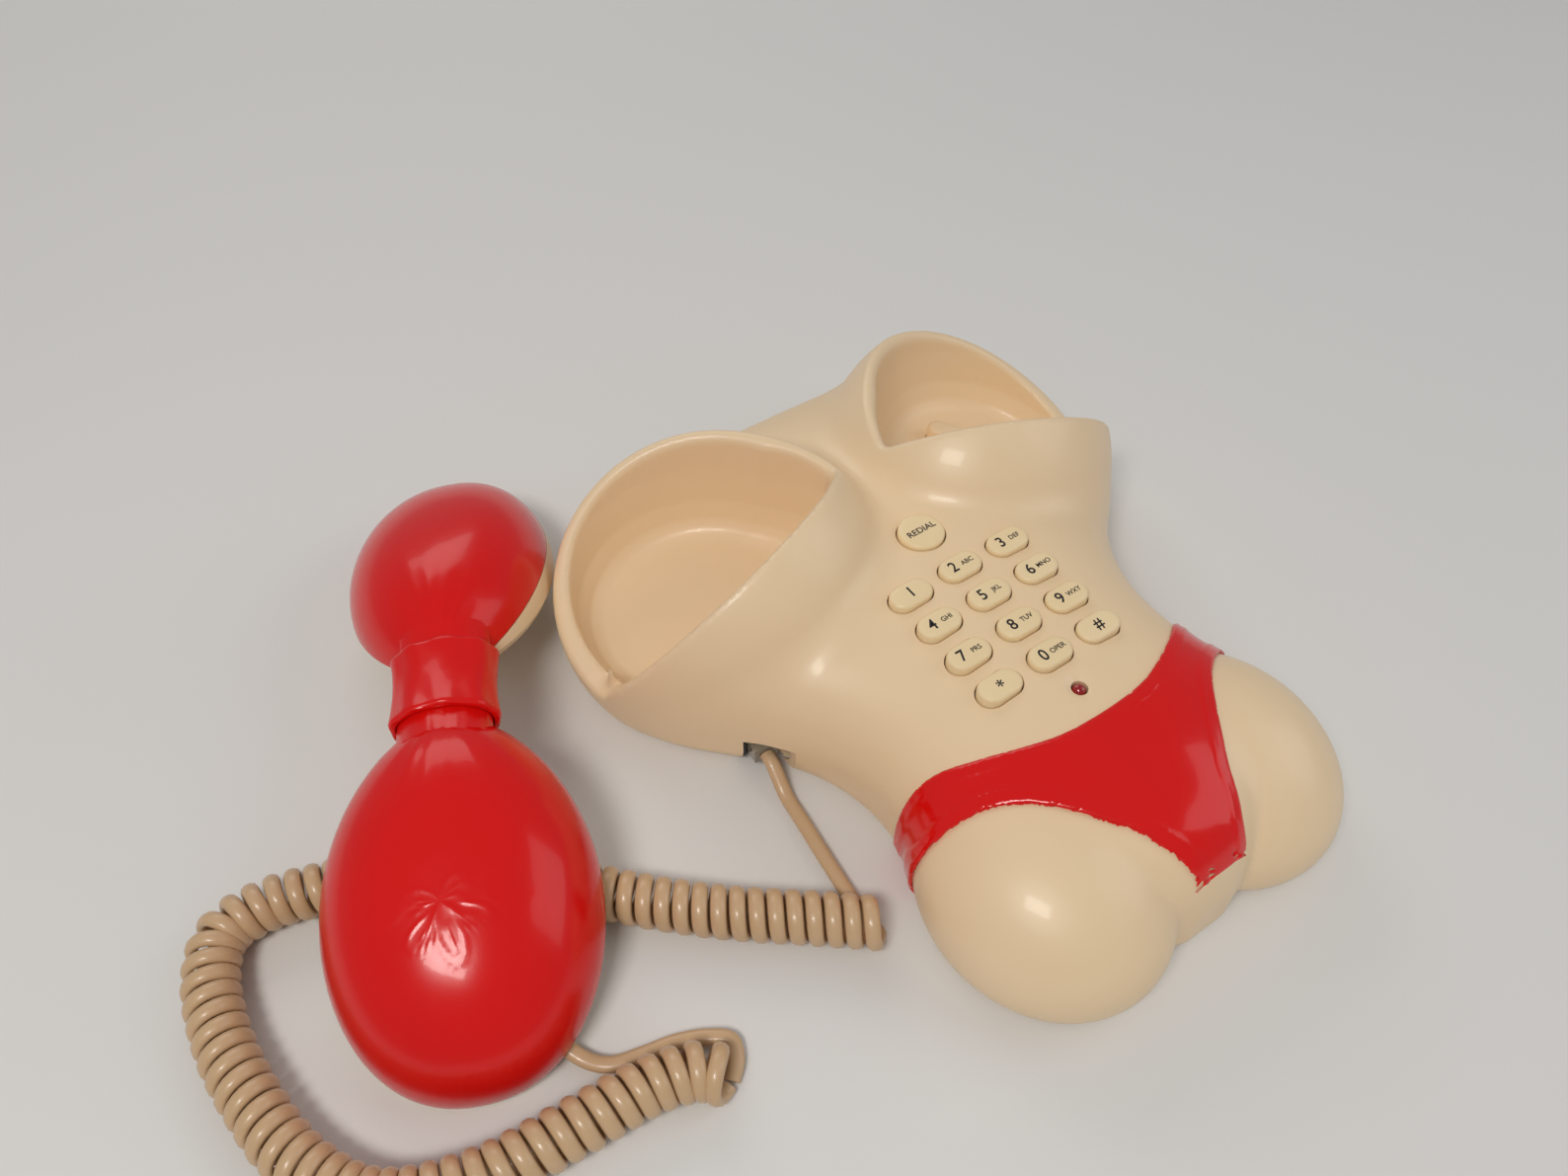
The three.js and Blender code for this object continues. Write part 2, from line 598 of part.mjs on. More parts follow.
// ---------------------------------------------------------------- handset
const handset = new THREE.Group();
handset.position.set(HANDSET.x, HANDSET.y, 0);
handset.rotation.order = 'ZYX';
handset.rotation.z = THREE.MathUtils.degToRad(HANDSET.turn);
handset.rotation.y = THREE.MathUtils.degToRad(HANDSET.roll);

// Outline of one cup at the rim: share 1 is the rim itself, end +1 is the earpiece end.
// It is round at the outer end and drawn in like a drop towards the grip.
function cupRing(end, share, z, grow, around) {
  const name = end > 0 ? 'ear' : 'mouth';
  const ring = [];
  for (let i = 0; i < around; i += 1) {
    const angle = (i / around) * 2 * Math.PI;
    const outward = Math.sin(angle) * end;
    const across = Math.cos(angle);
    const half = across > 0 ? CUP_INNER[name] : CUP_OUTER[name];
    const long = outward > 0 ? HANDSET.towardEnd : HANDSET.towardGrip;
    const x = (half * share + grow) * power(across, outward > 0 ? 0.9 : 1.2);
    const y = end * (HANDSET.reach + (long * share + grow) * outward);
    ring.push([x, y, z]);
  }
  return ring;
}

// Slopes a cup made level down from the middle of the grip.
function sloped(manifold, end) {
  return moved(manifold, new THREE.Matrix4().makeRotationX(-end * THREE.MathUtils.degToRad(HANDSET.bend)));
}

function cupUpper(end, grow, around = 26) {
  const rings = [cupRing(end, 1, grow < 0 ? -3 : 0, grow, around)];
  for (let i = 1; i <= 5; i += 1) {
    const lift = (i / 5) * 1.42;
    rings.push(cupRing(end, Math.cos(lift) ** 0.85, (HANDSET.dome + grow) * Math.sin(lift), grow, around));
  }
  return skin(rings);
}

function cupLower(end, grow, around = 26) {
  const profile = [[0.86, -1], [0.93, -0.7], [0.97, -0.3]];
  const rings = profile.map(([share, height]) => cupRing(end, share, height * (HANDSET.pan + grow), grow, around));
  rings.push(cupRing(end, 0.98, grow < 0 ? 3 : -GAP, grow, around));
  return skin(rings);
}

function bulge(end, grow, around = 20) {
  const profile = [[0.78, -1], [0.9, -0.86], [0.97, -0.5], [1, -0.1]];
  const rings = profile.map(([share, height]) => {
    const radius = BULGE.radius * share + grow;
    const z = height * (BULGE.depth + grow);
    return circle(radius, 0, end * BULGE.reach, around).map(([x, y]) => [x, y, z]);
  });
  return skin(rings);
}

function grip(up, grow, reach) {
  const rings = [-reach, reach].map((y) => {
    const ring = [];
    for (let i = 0; i <= 10; i += 1) {
      const angle = (i / 10) * Math.PI;
      const x = (HANDSET.grip + grow) * Math.cos(angle);
      const z = (up > 0 ? HANDSET.gripUp + grow : HANDSET.gripDown + grow) * Math.sin(angle) * up;
      ring.push([x, y, z]);
    }
    return up > 0 ? ring.reverse() : ring;
  });
  return skin(rings);
}

const HANDSET_SCREWS = [-6.5, 6.5];

// Everything below the seam between the two shells, lowered by drop.
function belowSeam(drop) {
  const sides = [-1, 1].map((end) => sloped(box(-200, 200, -200, 200, -200, -drop), end));
  const wedge = prism([
    [SEAM_RISE.from, -30], [90, -30], [90, (90 - SEAM_RISE.from) * SEAM_RISE.slope], [SEAM_RISE.from, 0],
  ], 12, 137);
  const upright = new THREE.Matrix4().makeRotationX(Math.PI / 2);
  const placed = moved(wedge, new THREE.Matrix4().makeTranslation(0, 150, -drop).multiply(upright));
  return sides[0].intersect(sides[1]).add(sloped(placed, 1));
}

function gripBar(half, grow) {
  return box(-60, 60, -half, half, -60, 60).intersect(grip(1, grow, 30).add(grip(-1, grow, 30)));
}

// One cup inside and out, without the part of it that the knot band goes round.
function cup(end, grow, around) {
  const whole = sloped(cupUpper(end, grow, around).add(cupLower(end, grow, around)).add(bulge(end, grow)), end);
  const start = KNOT.half + GAP - grow;
  return whole.intersect(end > 0 ? box(-200, 200, start, 200, -200, 200) : box(-200, 200, -200, -start, -200, 200));
}

function handsetShape() {
  return join(cup(-1, 0), cup(1, 0), gripBar(20, 0));
}

function handsetHollow() {
  return cup(-1, -SHELL_WALL, 16).add(cup(1, -SHELL_WALL, 16));
}

function handsetJackPlace() {
  return new THREE.Matrix4()
    .makeRotationX(THREE.MathUtils.degToRad(HANDSET.bend))
    .multiply(heading(HANDSET_JACK.x, HANDSET_JACK.y, HANDSET_JACK.heading))
    .multiply(new THREE.Matrix4().makeTranslation(0, 0, HANDSET_JACK.z));
}

function handsetJackRoom() {
  const { width, height } = JACK;
  const housing = box(-width / 2 - GAP, width / 2 + GAP, -JACK.depth - GAP, GAP, -GAP, height + GAP);
  const way = box(-PLUG.width / 2 - GAP, PLUG.width / 2 + GAP, 0, 40, -10, JACK.mouth + PLUG.height / 2 + GAP);
  return moved(housing.add(way), handsetJackPlace());
}

function handsetUpperShell() {
  return main(handsetShape().subtract(belowSeam(0)).subtract(handsetHollow()).subtract(handsetJackRoom()));
}

function handsetLowerShell() {
  let shell = handsetShape().intersect(belowSeam(GAP)).subtract(handsetHollow()).subtract(handsetJackRoom());
  for (const end of [-1, 1]) {
    for (let i = 0; i < 7; i += 1) {
      const angle = (i / 6) * 2 * Math.PI;
      const away = i < 6 ? 5 : 0;
      const hole = post(away * Math.cos(angle), end * BULGE.reach + away * Math.sin(angle),
        1, -BULGE.depth - 2, 0, 6);
      shell = shell.subtract(sloped(hole, end));
    }
  }
  HANDSET_SCREWS.forEach((y) => {
    shell = shell.subtract(post(0, y, SCREW.shank + 0.2, -30, -2.5, 10));
    shell = shell.subtract(post(0, y, SCREW.head + 0.2, -30, -HANDSET.gripDown + 2, 14));
  });
  return main(shell);
}

function knotBand() {
  let band = gripBar(KNOT.half, GAP + KNOT.wall).subtract(gripBar(KNOT.half + 5, GAP));
  HANDSET_SCREWS.forEach((y) => {
    band = band.subtract(post(0, y, SCREW.head + 0.2, -30, -5, 14));
  });
  return main(band);
}

function plugSolid() {
  return box(-PLUG.width / 2, PLUG.width / 2, -PLUG.length + 0.6, PLUG.proud,
    JACK.mouth - PLUG.height / 2, JACK.mouth + PLUG.height / 2);
}

function buildHandset() {
  addTo(handset, 'handset_upper_shell', handsetUpperShell(), 'red');
  addTo(handset, 'handset_lower_shell', handsetLowerShell(), 'ivory');
  addTo(handset, 'knot_band', knotBand(), 'red');
  const seat = -BULGE.depth + SHELL_WALL + GAP;
  const receiver = post(0, BULGE.reach, RECEIVER.radius, seat, seat + RECEIVER.thick, 24);
  addTo(handset, 'receiver', sloped(receiver, 1), 'black');
  const { x, y } = MICROPHONE;
  const boot = post(x, y, MICROPHONE.boot, seat, seat + MICROPHONE.thick + 1.5, 18);
  const pocket = post(x, y, MICROPHONE.radius + GAP, seat + 1, seat + 20, 16);
  addTo(handset, 'microphone_boot', sloped(boot.subtract(pocket), -1), 'rubber');
  const capsule = post(x, y, MICROPHONE.radius, seat + 1 + GAP, seat + 1 + GAP + MICROPHONE.thick, 16);
  addTo(handset, 'microphone', sloped(capsule, -1), 'steel');
  const panFloor = -HANDSET.pan + SHELL_WALL - GAP;
  const weight = box(-BALANCE.half, BALANCE.half, -BALANCE.to, -BALANCE.from, panFloor, panFloor + BALANCE.thick);
  addTo(handset, 'balance_weight', sloped(weight, -1), 'steel');
  const jack = addTo(handset, 'handset_cord_jack', jackHousing(), 'black');
  jack.applyMatrix4(handsetJackPlace());
  HANDSET_SCREWS.forEach((along, i) => {
    const head = post(0, along, SCREW.head, -HANDSET.gripDown + 0.4, -HANDSET.gripDown + 1.7, 14);
    const shank = post(0, along, SCREW.shank, -HANDSET.gripDown + 0.4, -4.2, 10);
    addTo(handset, `handset_screw_${i + 1}`, head.add(shank), 'steel');
  });
  const plug = addTo(handset, 'handset_plug', plugSolid(), 'clear');
  plug.applyMatrix4(handsetJackPlace());
}

// ---------------------------------------------------------------- curly cord
function tube(points, radius, sides, steps) {
  const path = new THREE.CatmullRomCurve3(points.map((p) => new THREE.Vector3(...p)), false, 'centripetal');
  const section = new THREE.Shape(circle(radius, 0, 0, sides).map(([x, y]) => new THREE.Vector2(x, y)));
  return solid(new THREE.ExtrudeGeometry(section, { steps, bevelEnabled: false, extrudePath: path }));
}

// A lead's route: straight out of its plug first, then along the table.
function leadRoute(plug, onTable) {
  plug.updateWorldMatrix(true, false);
  const local = group.matrixWorld.clone().invert().multiply(plug.matrixWorld);
  const start = [GAP, 3].map((out) => new THREE.Vector3(0, PLUG.proud + out, JACK.mouth).applyMatrix4(local));
  return [...start.map((p) => p.toArray()), ...onTable.map(([x, y]) => [x, y, LEAD_HEIGHT])];
}

function buildCord() {
  const basePlug = addTo(group, 'base_plug', plugSolid(), 'clear');
  basePlug.applyMatrix4(baseJackPlace);
  basePlug.position.z = BENCH;
  const coilHeight = COIL_DIAMETER / 2 + TABLE_CLEAR;
  const coilRoute = COIL_ROUTE.map(([x, y]) => [x, y, coilHeight]);
  addTo(group, 'coil_cord', tube(coilRoute, COIL_DIAMETER / 2, 12, 32), 'cord');
  addTo(group, 'base_lead', tube(leadRoute(basePlug, BASE_LEAD_ROUTE), LEAD_DIAMETER / 2, 8, 10), 'cord');
  const handsetPlug = handset.getObjectByName('handset_plug');
  addTo(group, 'handset_lead', tube(leadRoute(handsetPlug, HANDSET_LEAD_ROUTE), LEAD_DIAMETER / 2, 8, 14), 'cord');
}

buildBase();
buildHandset();
group.add(handset);
handset.updateMatrixWorld(true);
handset.position.z = TABLE_CLEAR - new THREE.Box3().setFromObject(handset, true).min.z;

// ---------------------------------------------------------------- origin
// The origin is the middle of the underside of the base and handset together.
group.updateMatrixWorld(true);
const bounds = new THREE.Box3().setFromObject(group, true);
buildCord();
const phone = new THREE.Group();
phone.add(group);
phone.position.set(-(bounds.min.x + bounds.max.x) / 2, -(bounds.min.y + bounds.max.y) / 2, 0);

export default phone;
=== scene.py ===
# Novelty shaped telephone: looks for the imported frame.
# The base and the handset are worked out in millimetres in the base's own frame
# (origin under key 5, +Y to the neck end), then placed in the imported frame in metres.
import math

import bmesh
import bpy
import numpy as np
import openvdb
from mathutils import Matrix, Vector


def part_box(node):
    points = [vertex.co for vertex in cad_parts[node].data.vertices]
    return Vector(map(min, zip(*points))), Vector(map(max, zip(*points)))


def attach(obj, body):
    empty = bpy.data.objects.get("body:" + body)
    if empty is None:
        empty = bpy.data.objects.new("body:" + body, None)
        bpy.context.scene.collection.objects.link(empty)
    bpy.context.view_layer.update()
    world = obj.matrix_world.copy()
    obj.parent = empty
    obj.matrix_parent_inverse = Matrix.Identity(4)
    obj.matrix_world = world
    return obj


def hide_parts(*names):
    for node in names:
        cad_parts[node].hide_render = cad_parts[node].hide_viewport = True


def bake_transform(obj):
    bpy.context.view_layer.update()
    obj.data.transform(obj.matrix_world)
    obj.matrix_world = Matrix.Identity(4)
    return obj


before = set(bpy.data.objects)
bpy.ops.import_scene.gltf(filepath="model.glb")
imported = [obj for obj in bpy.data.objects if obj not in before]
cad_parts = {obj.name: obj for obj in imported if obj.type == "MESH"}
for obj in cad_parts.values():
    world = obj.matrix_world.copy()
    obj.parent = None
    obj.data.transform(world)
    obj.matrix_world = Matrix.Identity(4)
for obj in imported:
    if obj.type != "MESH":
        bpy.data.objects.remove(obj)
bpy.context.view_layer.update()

MM = 0.001
key_low, key_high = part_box("key_5")
ORIGIN = Vector(((key_low.x + key_high.x) / 2, (key_low.y + key_high.y) / 2, 0))


def place(x, y, z):
    """A point of the base's own frame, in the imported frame."""
    return ORIGIN + Vector((x, y, z)) * MM


# ---------------------------------------------------------------- camera
scene = bpy.context.scene
camera_data = bpy.data.cameras.new("camera")
camera_data.lens = 28.25
camera_data.sensor_width = 36
camera = bpy.data.objects.new("camera", camera_data)
scene.collection.objects.link(camera)
camera.location = place(-180.3, -155.9, 317)
CAMERA_DOWN = math.radians(49)
look = Vector((0.571 * math.cos(CAMERA_DOWN), 0.821 * math.cos(CAMERA_DOWN), -math.sin(CAMERA_DOWN)))
camera.rotation_euler = look.to_track_quat("-Z", "Y").to_euler()
scene.camera = camera
scene.view_settings.view_transform = "Standard"


# ---------------------------------------------------------------- finishes
def rgb(red, green, blue):
    """An sRGB colour, 0 to 255, as the linear colour that shaders take."""
    out = []
    for value in (red, green, blue):
        v = value / 255
        out.append(v / 12.92 if v <= 0.04045 else ((v + 0.055) / 1.055) ** 2.4)
    return (*out, 1)


def moulded_group():
    """Moulded plastic: slow colour drift, fine moulding grain, and soft scuffs that dull the gloss."""
    tree = bpy.data.node_groups.new("moulded_plastic", "ShaderNodeTree")
    face = tree.interface
    for name, kind in (("Colour", "Color"), ("Drift Colour", "Color"), ("Drift", "Float"), ("Drift Scale", "Float"),
                       ("Grain Scale", "Float"), ("Grain Depth", "Float"), ("Roughness", "Float"), ("Scuff", "Float")):
        face.new_socket(name, in_out="INPUT", socket_type="NodeSocket" + kind)
    for name, kind in (("Colour", "Color"), ("Roughness", "Float"), ("Normal", "Vector")):
        face.new_socket(name, in_out="OUTPUT", socket_type="NodeSocket" + kind)
    nodes, links = tree.nodes, tree.links
    inputs = nodes.new("NodeGroupInput")
    outputs = nodes.new("NodeGroupOutput")
    coords = nodes.new("ShaderNodeTexCoord")

    def noise(scale_from, detail, label):
        node = nodes.new("ShaderNodeTexNoise")
        node.label = label
        node.inputs["Detail"].default_value = detail
        links.new(coords.outputs["Object"], node.inputs["Vector"])
        if isinstance(scale_from, str):
            links.new(inputs.outputs[scale_from], node.inputs["Scale"])
        else:
            node.inputs["Scale"].default_value = scale_from
        return node

    def maths(operation, a, b):
        node = nodes.new("ShaderNodeMath")
        node.operation = operation
        for socket, value in zip(node.inputs, (a, b)):
            if isinstance(value, (int, float)):
                socket.default_value = value
            else:
                links.new(value, socket)
        return node.outputs[0]

    drift = noise("Drift Scale", 3, "drift")
    amount = maths("MULTIPLY", maths("SUBTRACT", drift.outputs["Fac"], 0.35), inputs.outputs["Drift"])
    clamp = nodes.new("ShaderNodeClamp")
    links.new(amount, clamp.inputs["Value"])
    mix = nodes.new("ShaderNodeMix")
    mix.data_type = "RGBA"
    links.new(clamp.outputs[0], mix.inputs["Factor"])
    links.new(inputs.outputs["Colour"], mix.inputs["A"])
    links.new(inputs.outputs["Drift Colour"], mix.inputs["B"])
    links.new(mix.outputs["Result"], outputs.inputs["Colour"])

    scuff = noise(42.0, 5, "scuff")
    dulling = maths("MULTIPLY", maths("SUBTRACT", scuff.outputs["Fac"], 0.5), inputs.outputs["Scuff"])
    links.new(maths("ADD", inputs.outputs["Roughness"], dulling), outputs.inputs["Roughness"])

    grain = noise("Grain Scale", 4, "grain")
    wave = noise(26.0, 1, "sink marks")
    height = maths("ADD", maths("MULTIPLY", grain.outputs["Fac"], 0.3), maths("MULTIPLY", wave.outputs["Fac"], 0.7))
    bump = nodes.new("ShaderNodeBump")
    bump.inputs["Distance"].default_value = 0.0006
    links.new(inputs.outputs["Grain Depth"], bump.inputs["Strength"])
    links.new(height, bump.inputs["Height"])
    links.new(bump.outputs["Normal"], outputs.inputs["Normal"])
    return tree


MOULDED = moulded_group()


def plastic(name, colour, drift_colour, roughness, drift=0.5, drift_scale=14.0, grain_scale=2600.0,
            grain_depth=0.12, scuff=0.12, coat=0.0, subsurface=0.0, metallic=0.0, transmission=0.0, ior=1.5):
    material = bpy.data.materials.new(name)
    material.use_nodes = True
    tree = material.node_tree
    shader = tree.nodes["Principled BSDF"]
    group = tree.nodes.new("ShaderNodeGroup")
    group.node_tree = MOULDED
    values = {"Colour": colour, "Drift Colour": drift_colour, "Drift": drift, "Drift Scale": drift_scale,
              "Grain Scale": grain_scale, "Grain Depth": grain_depth, "Roughness": roughness, "Scuff": scuff}
    for key, value in values.items():
        group.inputs[key].default_value = value
    tree.links.new(group.outputs["Colour"], shader.inputs["Base Color"])
    tree.links.new(group.outputs["Roughness"], shader.inputs["Roughness"])
    tree.links.new(group.outputs["Normal"], shader.inputs["Normal"])
    shader.inputs["Coat Weight"].default_value = coat
    shader.inputs["Coat Roughness"].default_value = 0.06
    shader.inputs["Metallic"].default_value = metallic
    shader.inputs["Transmission Weight"].default_value = transmission
    shader.inputs["IOR"].default_value = ior
    if subsurface:
        shader.inputs["Subsurface Weight"].default_value = subsurface
        shader.inputs["Subsurface Radius"].default_value = (0.004, 0.002, 0.001)
        shader.inputs["Subsurface Scale"].default_value = 1.0
    return material


IVORY = plastic("ivory_moulding", rgb(240, 212, 172), rgb(233, 199, 153), 0.4, coat=0.12, grain_depth=0.1)
IVORY_INSIDE = plastic("ivory_underside", rgb(228, 199, 158), rgb(212, 180, 136), 0.55, grain_depth=0.2)
KEY_PLASTIC = plastic("key_moulding", rgb(243, 218, 172), rgb(232, 198, 142), 0.42, drift_scale=60.0, coat=0.1)
BLACK_INK = plastic("printed_ink", rgb(22, 20, 20), rgb(38, 34, 32), 0.5, grain_depth=0.0)
GLOSS_RED = plastic("gloss_red", rgb(226, 14, 10), rgb(196, 6, 6), 0.16, drift=0.6, grain_depth=0.03,
                    scuff=0.05, coat=0.3, ior=1.36)
SATIN_RED = plastic("handset_red", rgb(224, 14, 10), rgb(192, 6, 6), 0.22, drift=0.6, grain_depth=0.05,
                    scuff=0.08, coat=0.2, ior=1.36)
LAMP_RED = plastic("lamp_lens", rgb(190, 12, 12), rgb(120, 4, 6), 0.08, drift_scale=300.0, grain_depth=0.0,
                   scuff=0.02, coat=1.0, transmission=0.4)
RUBBER = plastic("black_rubber", rgb(44, 43, 42), rgb(60, 58, 55), 0.8, grain_depth=0.5, scuff=0.2)
SILICONE = plastic("grey_silicone", rgb(185, 180, 168), rgb(168, 162, 150), 0.7)
LAMINATE = plastic("green_laminate", rgb(30, 104, 58), rgb(22, 84, 44), 0.45, drift_scale=220.0)
BLACK_MOULDING = plastic("black_moulding", rgb(26, 26, 28), rgb(40, 40, 42), 0.4, grain_depth=0.3)
ZINC = plastic("zinc_plated_steel", rgb(186, 188, 190), rgb(150, 152, 156), 0.32, metallic=1.0, drift_scale=120.0)
BRASS = plastic("brass_disc", rgb(196, 164, 84), rgb(160, 126, 60), 0.3, metallic=1.0, drift_scale=90.0)
GOLD_CONTACT = plastic("gold_contact", rgb(214, 176, 92), rgb(186, 146, 66), 0.22, metallic=1.0)
CLEAR_PLUG = plastic("clear_plug", rgb(236, 224, 200), rgb(224, 208, 180), 0.1, grain_depth=0.02, scuff=0.04,
                     transmission=0.75, ior=1.49, coat=0.4)
CORD_VINYL = plastic("cord_vinyl", rgb(206, 172, 132), rgb(184, 146, 102), 0.34, drift_scale=30.0,
                     grain_depth=0.08, coat=0.2)


# ---------------------------------------------------------------- meshes
def new_piece(name, points, faces, material, smooth_angle=35.0, mm=True):
    """A mesh object; points are in the base's own frame in mm unless mm is off."""
    mesh = bpy.data.meshes.new(name)
    if mm:
        points = np.asarray(points, float) * MM + np.array(ORIGIN)
    mesh.from_pydata([tuple(p) for p in points], [], [tuple(int(i) for i in f) for f in faces])
    mesh.update()
    piece = bpy.data.objects.new(name, mesh)
    scene.collection.objects.link(piece)
    if material is not None:
        mesh.materials.append(material)
    soften(piece, smooth_angle)
    return piece


def soften(piece, angle):
    """Smooth shading, with edges sharper than angle left sharp."""
    work = bmesh.new()
    work.from_mesh(piece.data)
    limit = math.radians(angle)
    for face in work.faces:
        face.smooth = True
    for edge in work.edges:
        edge.smooth = len(edge.link_faces) == 2 and edge.calc_face_angle(0) < limit
    work.to_mesh(piece.data)
    work.free()


def outwards(piece):
    work = bmesh.new()
    work.from_mesh(piece.data)
    bmesh.ops.remove_doubles(work, verts=work.verts, dist=1e-6)
    bmesh.ops.recalc_face_normals(work, faces=work.faces)
    work.to_mesh(piece.data)
    work.free()
    return piece


def apply_modifiers(piece):
    """The piece with its modifiers turned into plain mesh."""
    depsgraph = bpy.context.evaluated_depsgraph_get()
    mesh = bpy.data.meshes.new_from_object(piece.evaluated_get(depsgraph), depsgraph=depsgraph)
    old = piece.data
    piece.modifiers.clear()
    piece.data = mesh
    bpy.data.meshes.remove(old)
    return piece


def carve(piece, cutters, operation="DIFFERENCE"):
    """Cuts, joins or intersects the piece with each cutter, and drops the cutters."""
    for cutter in cutters:
        modifier = piece.modifiers.new("carve", "BOOLEAN")
        modifier.operation = operation
        modifier.solver = "MANIFOLD"
        modifier.object = cutter
    apply_modifiers(piece)
    for cutter in cutters:
        bpy.data.objects.remove(cutter)
    return piece


def copy_of(piece):
    twin = piece.copy()
    twin.data = piece.data.copy()
    scene.collection.objects.link(twin)
    return twin


def drop_specks(piece):
    """Keeps only the largest connected body."""
    work = bmesh.new()
    work.from_mesh(piece.data)
    seen, bodies = set(), []
    for vert in work.verts:
        if vert in seen:
            continue
        stack, body = [vert], []
        seen.add(vert)
        while stack:
            v = stack.pop()
            body.append(v)
            for edge in v.link_edges:
                other = edge.other_vert(v)
                if other not in seen:
                    seen.add(other)
                    stack.append(other)
        bodies.append(body)
    bodies.sort(key=len)
    for body in bodies[:-1]:
        bmesh.ops.delete(work, geom=body, context="VERTS")
    work.to_mesh(piece.data)
    work.free()
    return piece


def rings_mesh(rings):
    """Points and faces of a closed skin over rings of points, lowest first, each anticlockwise from above."""
    count = len(rings[0])
    points = [p for ring in rings for p in ring]
    faces = []
    for r in range(len(rings) - 1):
        for i in range(count):
            j = (i + 1) % count
            a, b = r * count, (r + 1) * count
            faces.append((a + i, a + j, b + j, b + i))
    for ring_index, flip in ((0, True), (len(rings) - 1, False)):
        centre = np.mean(np.array(rings[ring_index], float), axis=0)
        points.append(tuple(centre))
        middle, base = len(points) - 1, ring_index * count
        for i in range(count):
            j = (i + 1) % count
            faces.append((middle, base + j, base + i) if flip else (middle, base + i, base + j))
    return points, faces


def prism(name, outline, low, high, material=None):
    rings = [[(x, y, z) for x, y in outline] for z in (low, high)]
    return new_piece(name, *rings_mesh(rings), material, 30)


def box_piece(name, x0, x1, y0, y1, z0, z1):
    return prism(name, [(x0, y0), (x1, y0), (x1, y1), (x0, y1)], z0, z1)


def stadium(length, width, x, y, turn=0.0, steps=12):
    straight, points = (length - width) / 2, []
    for end in (1, -1):
        for i in range(steps + 1):
            angle = -math.pi / 2 + (0 if end > 0 else math.pi) + math.pi * i / steps
            points.append((end * straight + width / 2 * math.cos(angle), width / 2 * math.sin(angle)))
    c, s = math.cos(math.radians(turn)), math.sin(math.radians(turn))
    return [(x + c * px - s * py, y + s * px + c * py) for px, py in points]


def circle(radius, x, y, steps=32):
    return [(x + radius * math.cos(2 * math.pi * i / steps), y + radius * math.sin(2 * math.pi * i / steps))
            for i in range(steps)]


def catmull(points, per_span):
    """A smooth run of points through the given ones."""
    pts = np.array(points, float)
    pts = np.vstack([2 * pts[0] - pts[1], pts, 2 * pts[-1] - pts[-2]])
    out = []
    for i in range(1, len(pts) - 2):
        p0, p1, p2, p3 = pts[i - 1:i + 3]
        knots = [0.0]
        for a, b in ((p0, p1), (p1, p2), (p2, p3)):
            knots.append(knots[-1] + max(np.linalg.norm(b - a), 1e-9) ** 0.5)
        t0, t1, t2, t3 = knots
        for t in np.linspace(t1, t2, per_span, endpoint=False):
            a1 = (t1 - t) / (t1 - t0) * p0 + (t - t0) / (t1 - t0) * p1
            a2 = (t2 - t) / (t2 - t1) * p1 + (t - t1) / (t2 - t1) * p2
            a3 = (t3 - t) / (t3 - t2) * p2 + (t - t2) / (t3 - t2) * p3
            b1 = (t2 - t) / (t2 - t0) * a1 + (t - t0) / (t2 - t0) * a2
            b2 = (t3 - t) / (t3 - t1) * a2 + (t - t1) / (t3 - t1) * a3
            out.append((t2 - t) / (t2 - t1) * b1 + (t - t1) / (t2 - t1) * b2)
    out.append(pts[-2])
    return np.array(out)


# ---------------------------------------------------------------- cords
COIL_DIAMETER = 15.0
COIL_HEIGHT = COIL_DIAMETER / 2 + 0.1
COIL_ROUTE = [
    (-72, -49.5), (-87, -37.2), (-107, -21), (-124, -4.7), (-135, 7.5), (-146, 19.5), (-160, 33),
    (-176, 41.5), (-193.5, 47.5), (-208, 51.5), (-220, 50), (-226.5, 40), (-229.5, 22),
    (-228.5, 3), (-224, -18), (-213, -35.5), (-191.5, -45), (-165, -48), (-144, -50.2),
    (-133.5, -54.5), (-128.5, -61),
]
LEAD_HEIGHT = 2.8
BASE_LEAD_ROUTE = [(-70.2, 1), (-71.2, -8), (-73, -24), (-74, -34.6)]
HANDSET_LEAD_ROUTE = [(-156.6, -32.5), (-152, -37.6), (-144, -40.2), (-135, -42.4), (-127.5, -46)]
WIRE_WIDE, WIRE_THICK = 4.5, 3.1          # the flat oval wire of the cord
COIL_PITCH = 5.15
STEPS_PER_TURN = 20


def evenly(points, step):
    """The same line with points a fixed step apart."""
    pts = np.array(points, float)
    run = np.concatenate([[0], np.cumsum(np.linalg.norm(np.diff(pts, axis=0), axis=1))])
    count = max(int(run[-1] / step), 2)
    at = np.linspace(0, run[-1], count + 1)
    return np.column_stack([np.interp(at, run, pts[:, k]) for k in range(3)])


